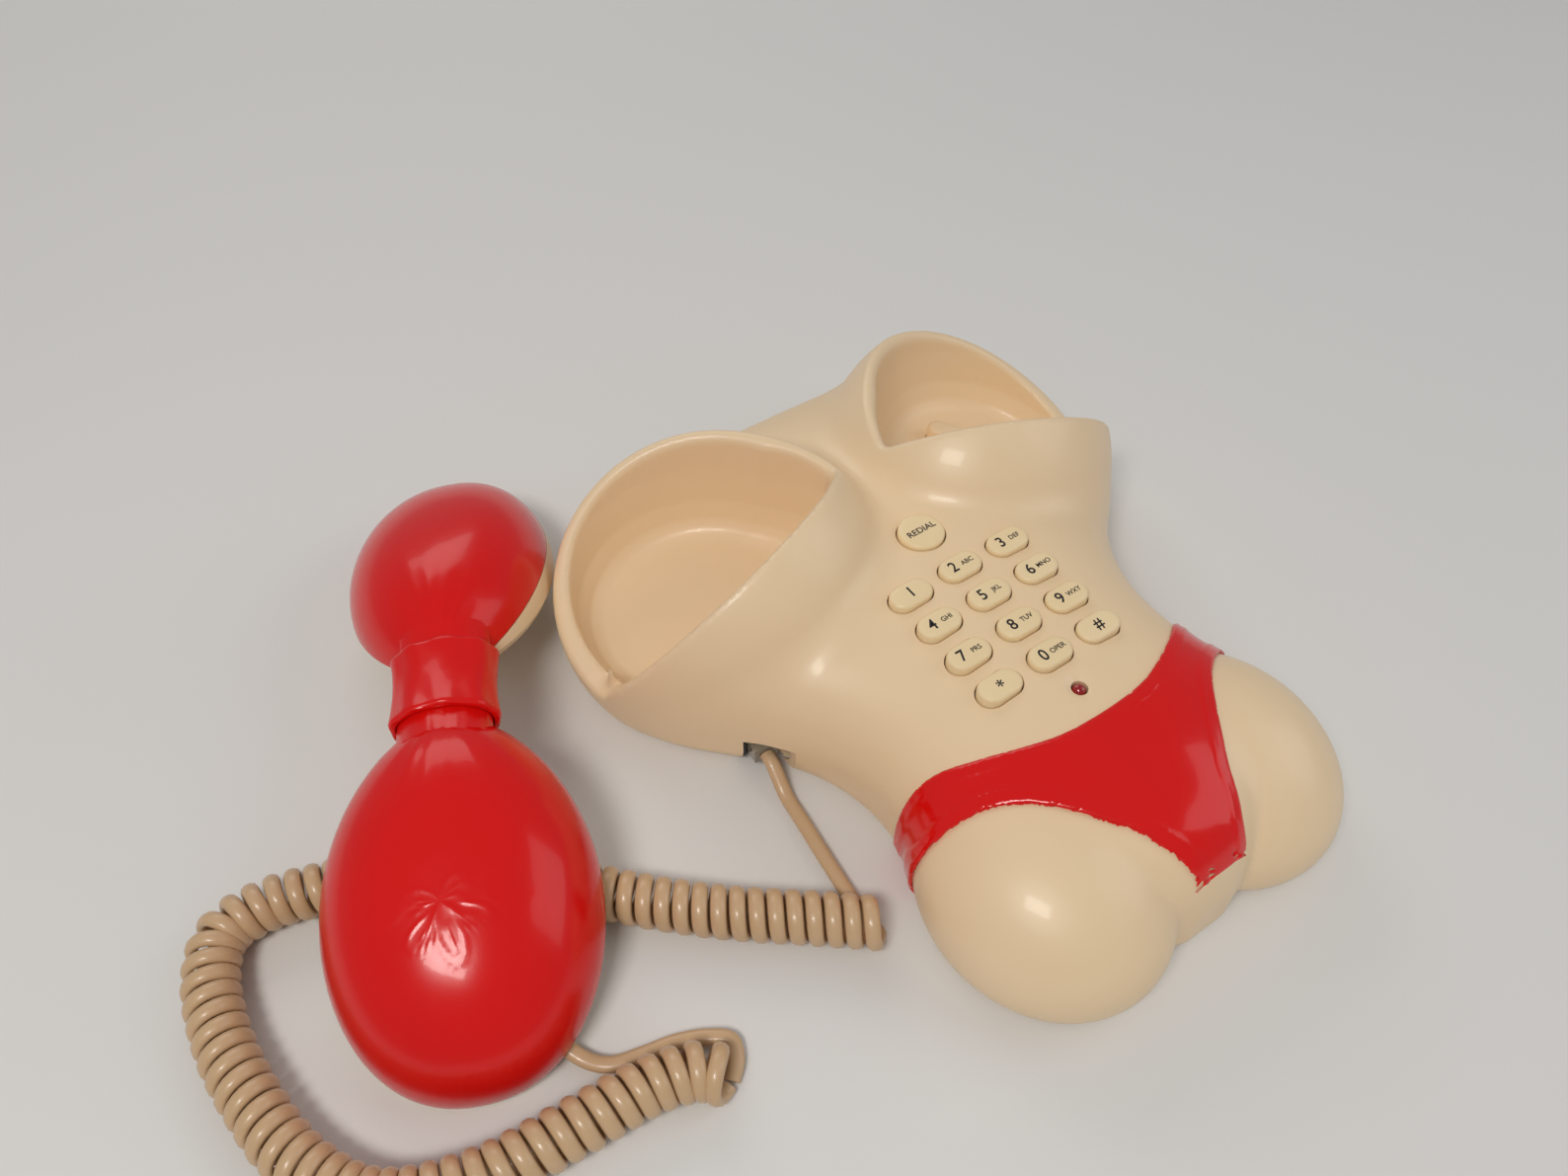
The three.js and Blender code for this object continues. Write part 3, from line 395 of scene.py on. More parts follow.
def wire_mesh(line, ups, wide, thick, sides=10):
    """A flat oval tube along line; ups are the directions of its thin side."""
    line, ups = np.array(line, float), np.array(ups, float)
    ahead = np.gradient(line, axis=0)
    ahead /= np.linalg.norm(ahead, axis=1)[:, None]
    ups = ups - (ups * ahead).sum(1)[:, None] * ahead
    ups /= np.linalg.norm(ups, axis=1)[:, None]
    across = np.cross(ahead, ups)
    rings = []
    for k in range(sides):
        angle = 2 * math.pi * k / sides
        rings.append(line + across * (wide / 2 * math.cos(angle)) + ups * (thick / 2 * math.sin(angle)))
    points = np.stack(rings, axis=1).reshape(-1, 3)
    faces = []
    for i in range(len(line) - 1):
        for k in range(sides):
            m = (k + 1) % sides
            faces.append((i * sides + k, i * sides + m, (i + 1) * sides + m, (i + 1) * sides + k))
    ends = [line[0], line[-1]]
    points = np.vstack([points, ends])
    first, last, top = len(points) - 2, len(points) - 1, (len(line) - 1) * sides
    for k in range(sides):
        m = (k + 1) % sides
        faces.append((first, m, k))
        faces.append((last, top + k, top + m))
    return points, faces


def curly_wire():
    """The line of the coiled wire, and its outward directions; both of its ends lie on the table."""
    route = evenly(catmull([(x, y, COIL_HEIGHT) for x, y in COIL_ROUTE], 24), 0.5)
    run = np.concatenate([[0], np.cumsum(np.linalg.norm(np.diff(route, axis=0), axis=1))])
    turns = round((run[-1] - 4) / COIL_PITCH)
    radius = (COIL_DIAMETER - WIRE_THICK) / 2
    count = turns * STEPS_PER_TURN
    at = np.linspace(2.4, run[-1] - 2.4, count + 1)
    middle = np.column_stack([np.interp(at, run, route[:, k]) for k in range(3)])
    ahead = np.gradient(middle, axis=0)
    ahead /= np.linalg.norm(ahead, axis=1)[:, None]
    up = np.tile([0.0, 0.0, 1.0], (len(at), 1))
    side = np.cross(ahead, up)
    angle = -math.pi / 2 - 2 * math.pi * np.arange(count + 1) / STEPS_PER_TURN
    out = side * np.cos(angle)[:, None] + up * np.sin(angle)[:, None]
    return middle + out * radius, out



def handset_matrix():
    """The handset's own frame (mm, +Y along it to the earpiece) in the base's own frame."""
    turn = Matrix.Rotation(math.radians(-24.6), 4, "Z")
    roll = Matrix.Rotation(math.radians(-3), 4, "Y")
    return Matrix.Translation((-141.6, 66, 37.89)) @ turn @ roll


HANDSET = handset_matrix()
CUP_BEND = 19.0
PLUG_PROUD = 5.0
PLUG_MIDDLE = 3.9
BASE_JACK = Matrix.Translation((-68, 19, 4.2)) @ Matrix.Rotation(math.radians(174), 4, "Z")
HANDSET_JACK = (HANDSET @ Matrix.Rotation(math.radians(CUP_BEND), 4, "X")
                @ Matrix.Translation((11.5, -86, 0)) @ Matrix.Rotation(math.radians(-146), 4, "Z")
                @ Matrix.Translation((0, 0, -6.9)))


def out_of_jack(jack, distance):
    return tuple(jack @ Vector((0, PLUG_PROUD + distance, PLUG_MIDDLE)))


def make_cords():
    coil_line, coil_out = curly_wire()
    on_table = [(x, y, LEAD_HEIGHT) for x, y in BASE_LEAD_ROUTE]
    lead = catmull([out_of_jack(BASE_JACK, 0.3), out_of_jack(BASE_JACK, 3), *on_table,
                    (-73.9, -42.0, 2.0), tuple(coil_line[0])], 12)[:-1]
    line = np.vstack([lead, coil_line])
    up = np.tile([0.0, 0.0, 1.0], (len(lead), 1))
    ups = np.vstack([up, -coil_out[:1] * 0 + coil_out])
    blend = np.linspace(0, 1, 14)[:, None]
    ups[len(lead) - 14:len(lead)] = up[:14] * (1 - blend) + coil_out[0] * blend * np.sign(0.01 + coil_out[0, 2])
    if coil_out[0, 2] < 0:
        ups[:len(lead)] = -up
    points, faces = wire_mesh(line, ups, WIRE_WIDE, WIRE_THICK)
    cord = outwards(new_piece("curly_cord", points, faces, CORD_VINYL, 60))
    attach(cord, "base_body")
    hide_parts("coil_cord", "base_lead")

    on_table = [(x, y, LEAD_HEIGHT) for x, y in reversed(HANDSET_LEAD_ROUTE)]
    tail = catmull([tuple(coil_line[-1] + (coil_line[-1] - coil_line[-2]) * 0.8), (-124.6, -54.6, 2.4),
                    (-123.2, -50.0, 2.8), *on_table,
                    out_of_jack(HANDSET_JACK, 3), out_of_jack(HANDSET_JACK, 0.3)], 10)
    points, faces = wire_mesh(tail, np.tile([0.0, 0.0, 1.0], (len(tail), 1)), WIRE_WIDE, WIRE_THICK)
    lead = outwards(new_piece("handset_cord_lead", points, faces, CORD_VINYL, 60))
    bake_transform(lead)
    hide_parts("handset_lead")


make_cords()

# ---------------------------------------------------------------- the base's form
TRUNK = [
    (-98, 9, 20), (-95, 15, 30), (-90, 23, 37), (-82, 34, 41.5), (-70, 46, 44),
    (-56, 54, 45.5), (-44, 56, 46), (-30, 54.5, 47), (-15, 55, 47.5), (0, 60, 48),
    (12, 68, 48), (24, 79, 47.5), (36, 87, 46.5), (50, 90, 46), (66, 91, 45),
    (82, 90, 43.5), (96, 86, 41), (106, 79, 38), (112, 71, 35), (115, 62, 32),
]
TRUNK_MID, TRUNK_BELOW, TRUNK_POWER = 9.0, 16.0, 2.6
THIGH = ((33, -66, 13), (33, 38, 29))
DOME_FRONT = ((45.5, 60.5, 25), (47.5, 45.6, 47.2))
DOME_BACK = ((52, 68, 20), (50.5, 50, 52))
CUT_FRONT = ((50, 36, 65), (0.312, 0.747, 0.587))
CUT_BACK = ((58, 109, 49), (0.373, -0.3, 0.878))
BOWL_CENTRE = (51, 73)
BOWL_WALL = 2.5
BOWL_PROFILE = ((0, 0.68), (1.2, 0.76), (4, 0.83), (10, 0.90), (22, 0.96), (40, 1.0), (80, 1.0))
NECK_Y, CROTCH_Y = 115.0, -98.0
FOOT_HEIGHT = 1.5
SHELL_WALL = 2.4
SOFT_JOIN = 7.0                            # how broadly the domes and thighs run into the trunk

stations = catmull([(y, half, top) for y, half, top in TRUNK], 8)


def smin(a, b, k):
    h = np.maximum(k - np.abs(a - b), 0) / k
    return np.minimum(a, b) - h * h * k / 4


def smax(a, b, k):
    return -smin(-a, -b, k)


def ellipsoid_field(x, y, z, size, side=1):
    (cx, cy, cz), (rx, ry, rz) = size
    qx, qy, qz = x - side * cx, y - cy, z - cz
    k0 = np.sqrt((qx / rx) ** 2 + (qy / ry) ** 2 + (qz / rz) ** 2)
    k1 = np.sqrt((qx / rx ** 2) ** 2 + (qy / ry ** 2) ** 2 + (qz / rz ** 2) ** 2)
    return k0 * (k0 - 1) / np.maximum(k1, 1e-6)


def trunk_field(x, y, z, ends=3.0):
    half = np.interp(y, stations[:, 0], stations[:, 1])
    top = np.interp(y, stations[:, 0], stations[:, 2])
    up = np.where(z > TRUNK_MID, top - TRUNK_MID, TRUNK_BELOW)
    s = ((np.abs(x) / half) ** TRUNK_POWER + (np.abs(z - TRUNK_MID) / up) ** TRUNK_POWER) ** (1 / TRUNK_POWER)
    reach = np.sqrt(x ** 2 + (z - TRUNK_MID) ** 2)
    field = np.where(s > 1e-6, reach * (1 - 1 / np.maximum(s, 1e-6)), -np.minimum(half, up))
    field = np.maximum(field, -40.0)
    return smax(smax(field, y - NECK_Y, ends), CROTCH_Y - y, ends)


def body_field(x, y, z):
    """Below zero inside the base as a whole, before the domes are opened."""
    field = trunk_field(x, y, z)
    for side in (-1, 1):
        dome = smin(ellipsoid_field(x, y, z, DOME_FRONT, side), ellipsoid_field(x, y, z, DOME_BACK, side), 4.0)
        field = smin(field, dome, SOFT_JOIN)
        field = smin(field, ellipsoid_field(x, y, z, THIGH, side), 3.0)
    return field


def plane_height(cut, x, y):
    (px, py, pz), (nx, ny, nz) = cut
    return pz - (nx * (x - px) + ny * (y - py)) / nz


def rim_reach(angles):
    """How far a dome reaches from the bowl's centre, on the opening planes, in each direction."""
    near, far = np.full(angles.shape, 5.0), np.full(angles.shape, 75.0)
    for _ in range(26):
        reach = (near + far) / 2
        x, y = BOWL_CENTRE[0] + reach * np.cos(angles), BOWL_CENTRE[1] + reach * np.sin(angles)
        z = np.maximum(plane_height(CUT_FRONT, x, y), plane_height(CUT_BACK, x, y))
        inside = np.minimum(ellipsoid_field(x, y, z, DOME_FRONT), ellipsoid_field(x, y, z, DOME_BACK)) < 0
        near, far = np.where(inside, reach, near), np.where(inside, far, reach)
    return (near + far) / 2


RIM_ANGLES = np.linspace(-math.pi, math.pi, 361)
RIM_REACH = rim_reach(RIM_ANGLES)


def bowl_floor(x, y):
    return 15 - 0.2 * (x - BOWL_CENTRE[0]) + 0.12 * (y - BOWL_CENTRE[1])


def bowl_field(x, y, z, side, grow=0.0):
    """Below zero inside the hollow of one bowl."""
    x = side * x
    dx, dy = x - BOWL_CENTRE[0], y - BOWL_CENTRE[1]
    out = np.sqrt(dx ** 2 + dy ** 2)
    reach = np.interp(np.arctan2(dy, dx), RIM_ANGLES, RIM_REACH) - BOWL_WALL
    above = z - bowl_floor(x, y)
    heights, shares = zip(*BOWL_PROFILE)
    share = np.interp(above, heights, shares)
    return smax((out - reach * share) * 0.9 - grow, -above - grow, 3.0)


def cut_field(x, y, z, side):
    """Below zero in the space above both opening planes on one side."""
    x = side * x
    planes = []
    for (px, py, pz), (nx, ny, nz) in (CUT_FRONT, CUT_BACK):
        size = math.sqrt(nx * nx + ny * ny + nz * nz)
        planes.append((nx * (x - px) + ny * (y - py) + nz * (z - pz)) / size)
    return smax(smax(-planes[0], -planes[1], 3.0), -x, 1.0)


def shell_field(x, y, z):
    """Below zero inside the base with its domes opened and its bowls sunk."""
    field = body_field(x, y, z)
    for side in (-1, 1):
        field = smax(field, -cut_field(x, y, z, side), 1.6)
        field = smax(field, -bowl_field(x, y, z, side), 1.8)
    lug = np.maximum(np.sqrt((x + 94.5) ** 2 + (y - 57) ** 2) - 2.6 + 0.16 * np.maximum(z - 16, 0), z - 23.5)
    lug = np.maximum(lug, 15 - z)
    lug = smax(lug, -bowl_field(x, y, z, -1), 1.0)
    return smin(field, lug, 2.0)


def skin_of(name, field, low, high, step, material, smooth_angle=40.0, polish=2):
    """The surface where field is zero, over the box from low to high in mm, as a mesh of quads."""
    low, high = np.array(low, float), np.array(high, float)
    counts = np.ceil((high - low) / step).astype(int) + 1
    axes = [low[k] + step * np.arange(counts[k]) for k in range(3)]
    x, y, z = np.meshgrid(*axes, indexing="ij")
    values = np.clip(field(x, y, z), -4 * step, 4 * step).astype(np.float32)
    values[[0, -1], :, :] = values[:, [0, -1], :] = values[:, :, [0, -1]] = 4 * step
    grid = openvdb.FloatGrid(background=4.0 * step)
    grid.copyFromArray(values)
    points, quads = grid.convertToQuads(isovalue=0.0)
    points = low + points.astype(float) * step
    inner = ((points > low + 1.2 * step) & (points < high - 1.2 * step)).all(1)
    for _ in range(polish):
        nudge, slope = 0.05, []
        here = field(*points.T)
        for k in range(3):
            ahead = points.copy()
            ahead[:, k] += nudge
            slope.append((field(*ahead.T) - here) / nudge)
        slope = np.stack(slope, axis=1)
        size = np.maximum((slope ** 2).sum(1), 0.05)
        move = -(here / size)[:, None] * slope
        length = np.linalg.norm(move, axis=1)[:, None]
        move *= np.minimum(1, 0.6 * step / np.maximum(length, 1e-9))
        points[inner] += move[inner]
    piece = new_piece(name, points, quads[:, ::-1], material, smooth_angle)
    work = bmesh.new()
    work.from_mesh(piece.data)
    bmesh.ops.recalc_face_normals(work, faces=work.faces)
    work.to_mesh(piece.data)
    work.free()
    return piece


KEY_PITCH = (18.4, 12.9)
KEY_SIZE = (14.0, 8.4)
KEY_ROWS = (("key_1", "key_2", "key_3"), ("key_4", "key_5", "key_6"), ("key_7", "key_8", "key_9"),
            ("key_star", "key_0", "key_hash"))
REDIAL_Y, REDIAL_RADIUS = 30.9, 7.2
NAVEL_Y = -38.0
HOOK = {"x": 58, "y": 81, "length": 19, "width": 7, "turn": -60}


def key_spots():
    spots = [(name, (c - 1) * KEY_PITCH[0], (1 - r) * KEY_PITCH[1], *KEY_SIZE)
             for r, row in enumerate(KEY_ROWS) for c, name in enumerate(row)]
    return spots + [("key_redial", 0, REDIAL_Y, 2 * REDIAL_RADIUS, 2 * REDIAL_RADIUS)]


def key_outline(long, wide, x, y, grow, steps=12):
    if long == wide:
        return circle(long / 2 + grow, x, y, 4 * steps)
    return stadium(long + 2 * grow, wide + 2 * grow, x, y, 0, steps)


def top_at(x, y):
    """Height of the trunk's top."""
    half = np.interp(y, stations[:, 0], stations[:, 1])
    top = np.interp(y, stations[:, 0], stations[:, 2])
    return TRUNK_MID + (top - TRUNK_MID) * (1 - min(abs(x) / half, 1) ** TRUNK_POWER) ** (1 / TRUNK_POWER)


def in_jack(name, jack, x0, x1, y0, y1, z0, z1):
    piece = box_piece(name, x0, x1, y0, y1, z0, z1)
    turn = Matrix.Translation(ORIGIN) @ Matrix.Scale(MM, 4)
    piece.data.transform(turn @ jack @ turn.inverted())
    return piece


LINE_JACK = Matrix.Translation((32, NECK_Y - 1, 4.2))
SWITCH_X = (-34, -8)


def base_shell():
    def standing(x, y, z):
        field = shell_field(x, y, z)
        navel = np.sqrt(x ** 2 + (y - NAVEL_Y) ** 2 + (z - top_at(0, NAVEL_Y) - 4.6) ** 2) - 6
        return smax(smax(field, -navel, 0.8), FOOT_HEIGHT - z, 0.6)

    def hollow(x, y, z):
        return smax(shell_field(x, y, z) + SHELL_WALL + 0.15, -4 - z, 0.5)

    shell = skin_of("base_shell", standing, (-108, -110, -2), (108, 120, 72), 1.15, IVORY)
    inside = skin_of("base_hollow", hollow, (-108, -110, -6), (108, 120, 72), 2.6, None, polish=1)
    cutters = [inside]
    for name, x, y, long, wide in key_spots():
        cutters.append(prism("hole_" + name, key_outline(long, wide, x, y, 0.45), 36, 60))
    cutters.append(prism("lamp_hole", circle(2.4, 0, NAVEL_Y, 32), 36, 60))
    cutters.append(prism("hook_hole", stadium(19.6, 7.6, HOOK["x"], HOOK["y"], HOOK["turn"], 14), 2, 40))
    for name, jack in (("cord_way", BASE_JACK), ("line_way", LINE_JACK)):
        cutters.append(in_jack(name, jack, -5.8, 5.8, -14.3, 30, -10, 9.3))
    for i, x in enumerate(SWITCH_X):
        cutters.append(box_piece(f"switch_way_{i}", x - 4.6, x + 4.6, 100, 130, 9.7, 14.3))
    carve(shell, cutters)
    drop_specks(shell)
    soften(shell, 38)
    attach(shell, "base_body")
    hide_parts("base_upper_shell")


base_shell()

# ---------------------------------------------------------------- the briefs trim
TRIM_TOP = [(0, -47.5), (14, -46.5), (24, -43.5), (36, -38), (48, -31.5), (62, -29.5)]
TRIM_LEG = [
    (62, -44.5), (50, -47), (42, -50.5), (35, -55.5), (28, -63), (22, -71), (17, -78),
    (14, -84), (11, -90), (9.5, -95), (8, -99), (8, -112),
]
TRIM_GAP, TRIM_THICK = 0.1, 1.3
TRIM_BEAD = {"in": 3.4, "wide": 0.75, "high": 0.3}     # raised line inside the trim's edges


def outline_distance(x, y, outline):
    """Signed distance in plan to a closed outline, below zero inside."""
    nearest = np.full(x.shape, 1e9)
    inside = np.zeros(x.shape, bool)
    for (ax, ay), (bx, by) in zip(outline, outline[1:] + outline[:1]):
        ex, ey = bx - ax, by - ay
        t = np.clip(((x - ax) * ex + (y - ay) * ey) / max(ex * ex + ey * ey, 1e-12), 0, 1)
        nearest = np.minimum(nearest, (x - ax - t * ex) ** 2 + (y - ay - t * ey) ** 2)
        crosses = (ay > y) != (by > y)
        at = ax + (y - ay) * ex / (ey if abs(ey) > 1e-12 else 1e-12)
        inside ^= crosses & (x < at)
    return np.sqrt(nearest) * np.where(inside, -1, 1)


def briefs_outline():
    top = [tuple(p) for p in catmull([(-x, y) for x, y in reversed(TRIM_TOP[1:])] + TRIM_TOP, 8)]
    leg = [tuple(p) for p in catmull(TRIM_LEG, 6)]
    other = [(-x, y) for x, y in reversed(leg)]
    return top + leg + other


def briefs():
    outline = briefs_outline()
    axis_x, axis_y = np.linspace(-66, 66, 265), np.linspace(-106, -24, 165)
    grid_x, grid_y = np.meshgrid(axis_x, axis_y, indexing="ij")
    plan = outline_distance(grid_x, grid_y, outline)

    def distance(x, y):
        fx = np.clip((x - axis_x[0]) / (axis_x[1] - axis_x[0]), 0, len(axis_x) - 1.001)
        fy = np.clip((y - axis_y[0]) / (axis_y[1] - axis_y[0]), 0, len(axis_y) - 1.001)
        i, j = fx.astype(int), fy.astype(int)
        u, v = fx - i, fy - j
        return ((1 - u) * (1 - v) * plan[i, j] + u * (1 - v) * plan[i + 1, j]
                + (1 - u) * v * plan[i, j + 1] + u * v * plan[i + 1, j + 1])

    def field(x, y, z):
        edge = distance(x, y)
        skin = body_field(x, y, z)
        bead = TRIM_BEAD["high"] * np.exp(-((edge + TRIM_BEAD["in"]) / TRIM_BEAD["wide"]) ** 2)
        outer = smax(skin - TRIM_GAP - TRIM_THICK - bead, edge, 1.6)
        return smax(smax(outer, TRIM_GAP - skin, 0.2), FOOT_HEIGHT - z, 0.3)

    piece = skin_of("briefs_moulding", field, (-66, -106, -1), (66, -24, 54), 0.85, GLOSS_RED, 50)
    drop_specks(piece)
    soften(piece, 50)
    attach(piece, "base_body")
    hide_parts("briefs_trim")


briefs()

# ---------------------------------------------------------------- keys
KEY_PROUD = 2.0
KEY_MARKS = {
    "key_1": ("1", ""), "key_2": ("2", "ABC"), "key_3": ("3", "DEF"), "key_4": ("4", "GHI"), "key_5": ("5", "JKL"),
    "key_6": ("6", "MNO"), "key_7": ("7", "PRS"), "key_8": ("8", "TUV"), "key_9": ("9", "WXY"),
    "key_0": ("0", "OPER"), "key_star": ("*", ""), "key_hash": ("#", ""), "key_redial": ("", "REDIAL"),
}
DIGIT_SIZE, LETTER_SIZE = 5.4, 2.3
INK_THICK = 0.06


def printed(text, size, x, y, z, stretch=1.0):
    """A run of print as a thin mesh, its middle at x, y and its underside at z."""
    curve = bpy.data.curves.new("print", "FONT")
    curve.body = text
    curve.size = size
    curve.align_x, curve.align_y = "CENTER", "CENTER"
    curve.extrude = INK_THICK / 2
    curve.offset = 0.012 * size
    curve.resolution_u = 5
    maker = bpy.data.objects.new("print", curve)
    scene.collection.objects.link(maker)
    depsgraph = bpy.context.evaluated_depsgraph_get()
    mesh = bpy.data.meshes.new_from_object(maker.evaluated_get(depsgraph))
    bpy.data.objects.remove(maker)
    middle = Matrix.Translation(ORIGIN) @ Matrix.Scale(MM, 4) @ Matrix.Translation((x, y, z + INK_THICK / 2))
    mesh.transform(middle @ Matrix.Scale(stretch, 4, (1, 0, 0)))
    mesh.materials.clear()
    mesh.materials.append(BLACK_INK)
    piece = bpy.data.objects.new("print", mesh)
    scene.collection.objects.link(piece)
    return piece


def joined(main, others):
    bpy.ops.object.select_all(action="DESELECT")
    for piece in [main, *others]:
        piece.select_set(True)
    bpy.context.view_layer.objects.active = main
    bpy.ops.object.join()
    main.select_set(False)
    return main


def key_cap(name, x, y, long, wide):
    low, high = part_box(name)
    top = high.z / MM
    bottom = low.z / MM
    # [height, growth of the outline]: flange, shaft, rounded shoulder, slightly domed top
    profile = [(bottom, 1.1), (bottom + 1.1, 1.1), (bottom + 1.15, 0), (top - 1.15, 0), (top - 0.75, -0.06),
               (top - 0.42, -0.24), (top - 0.2, -0.52), (top - 0.07, -0.95), (top, -1.6), (top, -2.6)]
    rings = [[(px, py, z) for px, py in key_outline(long, wide, x, y, grow, 10)] for z, grow in profile]
    cap = new_piece(name + "_cap", *rings_mesh(rings), KEY_PLASTIC, 42)
    digit, letters = KEY_MARKS[name]
    prints = []
    if digit:
        side = -2.6 if letters else 0
        drop = -0.9 if digit == "*" else 0
        prints.append(printed(digit, DIGIT_SIZE, x + side, y + drop, top - 0.01, 0.92))
        if letters:
            prints.append(printed(letters, LETTER_SIZE, x + 2.4, y - 0.1, top - 0.01, 0.95))
    else:
        prints.append(printed(letters, 3.1, x, y, top - 0.01))
    joined(cap, prints)
    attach(cap, name)
    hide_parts(name)


for spot in key_spots():
    key_cap(*spot)


# ---------------------------------------------------------------- small pieces of the base
def message_lamp():
    low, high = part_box("message_lamp")
    top, bottom = high.z / MM, low.z / MM
    rings = [[(px, py, bottom) for px, py in circle(2.1, 0, NAVEL_Y, 28)]]
    for i in range(9):
        angle = i / 8 * math.radians(84)
        z = top - 2.1 + 2.1 * math.sin(angle)
        rings.append([(px, py, z) for px, py in circle(2.1 * math.cos(angle), 0, NAVEL_Y, 28)])
    lens = new_piece("lamp_lens", *rings_mesh(rings), LAMP_RED, 60)
    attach(lens, "base_body")
    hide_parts("message_lamp")


message_lamp()


def hook_bar():
    low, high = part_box("hook_plunger")
    top, bottom = high.z / MM, low.z / MM
    profile = [(bottom, 1.9), (bottom + 1.1, 1.9), (bottom + 1.2, 0), (top - 1.6, 0), (top - 1.0, -0.1),
               (top - 0.5, -0.35), (top - 0.15, -0.8), (top, -1.5), (top, -2.6)]
    rings = []
    for z, grow in profile:
        outline = stadium(HOOK["length"] + 2 * grow, HOOK["width"] + 2 * grow, HOOK["x"], HOOK["y"], HOOK["turn"], 12)
        rings.append([(px, py, z) for px, py in outline])
    bar = new_piece("hook_bar", *rings_mesh(rings), IVORY, 42)
    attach(bar, "hook_plunger")
    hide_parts("hook_plunger")


hook_bar()


# ---------------------------------------------------------------- handset
CUP_REACH, CUP_TO_GRIP, CUP_TO_END = 62.0, 54.0, 47.0
CUP_DOME, CUP_PAN = 27.0, 4.6
CUP_HALVES = {1: (34.0, 30.0), -1: (36.5, 36.5)}       # away from the base, towards it
BULGE = {"reach": 69.0, "radius": 20.0, "depth": 9.6}
SEAM_FROM, SEAM_SLOPE = 6.0, 0.32
GRIP_HALF, GRIP_UP, GRIP_DOWN = 13.0, 8.5, 11.0
KNOT_HALF = 12.0
AROUND = 144


def power(value, exponent):
    return math.copysign(abs(value) ** exponent, value)


def cup_ring(end, share, z, grow=0.0, around=AROUND):
    outer, inner = CUP_HALVES[end]
    ring = []
    for i in range(around):
        angle = 2 * math.pi * i / around
        outward, across = math.sin(angle) * end, math.cos(angle)
        half = inner if across > 0 else outer
        long = CUP_TO_END if outward > 0 else CUP_TO_GRIP
        # the drawn-in grip side and the round outer side run into each other
        blend = 0.5 + 0.5 * math.tanh(outward * 5)
        exponent = 1.2 + (0.9 - 1.2) * blend
        x = (half * share + grow) * power(across, exponent)
        y = end * (CUP_REACH + (long * share + grow) * outward)
        ring.append((x, y, z))
    return ring


def hump(value, wide):
    return math.exp(-(value / wide) ** 2)


def gathers(x, y, end):
    """Height of the small gathers that fan out from the knot over a cup."""
    from_knot = abs(y) - 6
    if from_knot <= 0:
        return 0.0
    fan = math.atan2(x, from_knot)
    fade = math.exp(-max(from_knot - 8, 0) / (15.0 if end > 0 else 11.0))
    folds = sum(hump(fan - at, 0.085) * size for at, size in
                ((-0.62, 0.8), (-0.33, 1.0), (-0.08, 0.7), (0.17, 1.0), (0.45, 0.9), (0.72, 0.7)))
    return 0.75 * fade * folds


def blossom(x, y):
    """Height of the faint moulded blossom with two scrolls on the mouthpiece cup."""
    x, y = x - 1.0, y + 66.0
    out, angle = math.hypot(x, y), math.atan2(y, x)
    petals = 8.2 + 2.6 * math.cos(5 * angle + 0.5)
    height = hump(out - petals, 0.8) + hump(out - 2.6, 0.8)
    height += 0.7 * hump(math.sin(2.5 * angle + 0.25) * max(out, 3.0), 0.7) * (3.4 < out < 7.5)
    for side in (-1, 1):
        sx, sy = x - side * 15.5, y - 7.0
        spin = math.atan2(sy, sx * side)
        for turn in (0, 1):
            height += 0.8 * hump(math.hypot(sx, sy) - (2.0 + 1.05 * (spin + 2 * math.pi * turn)), 0.6) * (
                math.hypot(sx, sy) < 9)
    return 0.16 * min(height, 1.0)


def cup_solid(name, end, grow=0.0, detail=True, around=AROUND, levels=52):
    """One whole cup, upper dome and lower pan, as a closed skin in the cup's level position."""
    rings = []
    for share, height in ((0.80, -1.0), (0.86, -1.0), (0.905, -0.88), (0.94, -0.66), (0.962, -0.4), (0.985, -0.12)):
        rings.append(cup_ring(end, share, height * (CUP_PAN + grow), grow, around))
    for i in range(levels + 1):
        lift = i / levels * 1.545
        share = math.cos(lift) ** 0.85
        ring = cup_ring(end, share, (CUP_DOME + grow) * math.sin(lift), grow, around)
        if detail:
            ring = [(x, y, z + math.sin(lift) * (gathers(x, y, end) + (blossom(x, y) if end < 0 else 0)))
                    for x, y, z in ring]
        rings.append(ring)
    return new_piece(name, *rings_mesh(rings), None, 40, mm=False)


def bulge_solid(name, end, grow=0.0, around=64):
    profile = ((0.70, -1.0), (0.78, -1.0), (0.86, -0.93), (0.92, -0.8), (0.97, -0.5), (1.0, -0.1))
    rings = []
    for share, height in profile:
        ring = circle(BULGE["radius"] * share + grow, 0, end * BULGE["reach"], around)
        rings.append([(x, y, height * (BULGE["depth"] + grow)) for x, y in ring])
    return new_piece(name, *rings_mesh(rings), None, 40, mm=False)


def bar_solid(name, half, grow, steps=36):
    rings = []
    for y in (-half, half):
        ring = []
        for i in range(steps):
            angle = 2 * math.pi * i / steps
            up = GRIP_UP if math.sin(angle) > 0 else GRIP_DOWN
            ring.append(((GRIP_HALF + grow) * math.cos(angle), y, (up + grow) * math.sin(angle)))
        rings.append(ring if y < 0 else ring)
    points, faces = rings_mesh(rings)
    return outwards(new_piece(name, points, faces, None, 40, mm=False))


def raw_box(name, x0, x1, y0, y1, z0, z1):
    outline = [(x0, y0), (x1, y0), (x1, y1), (x0, y1)]
    rings = [[(x, y, z) for x, y in outline] for z in (z0, z1)]
    return new_piece(name, *rings_mesh(rings), None, 30, mm=False)


def bent(piece, end):
    """Slopes a level cup down from the middle of the grip."""
    piece.data.transform(Matrix.Rotation(-end * math.radians(CUP_BEND), 4, "X"))
    return piece


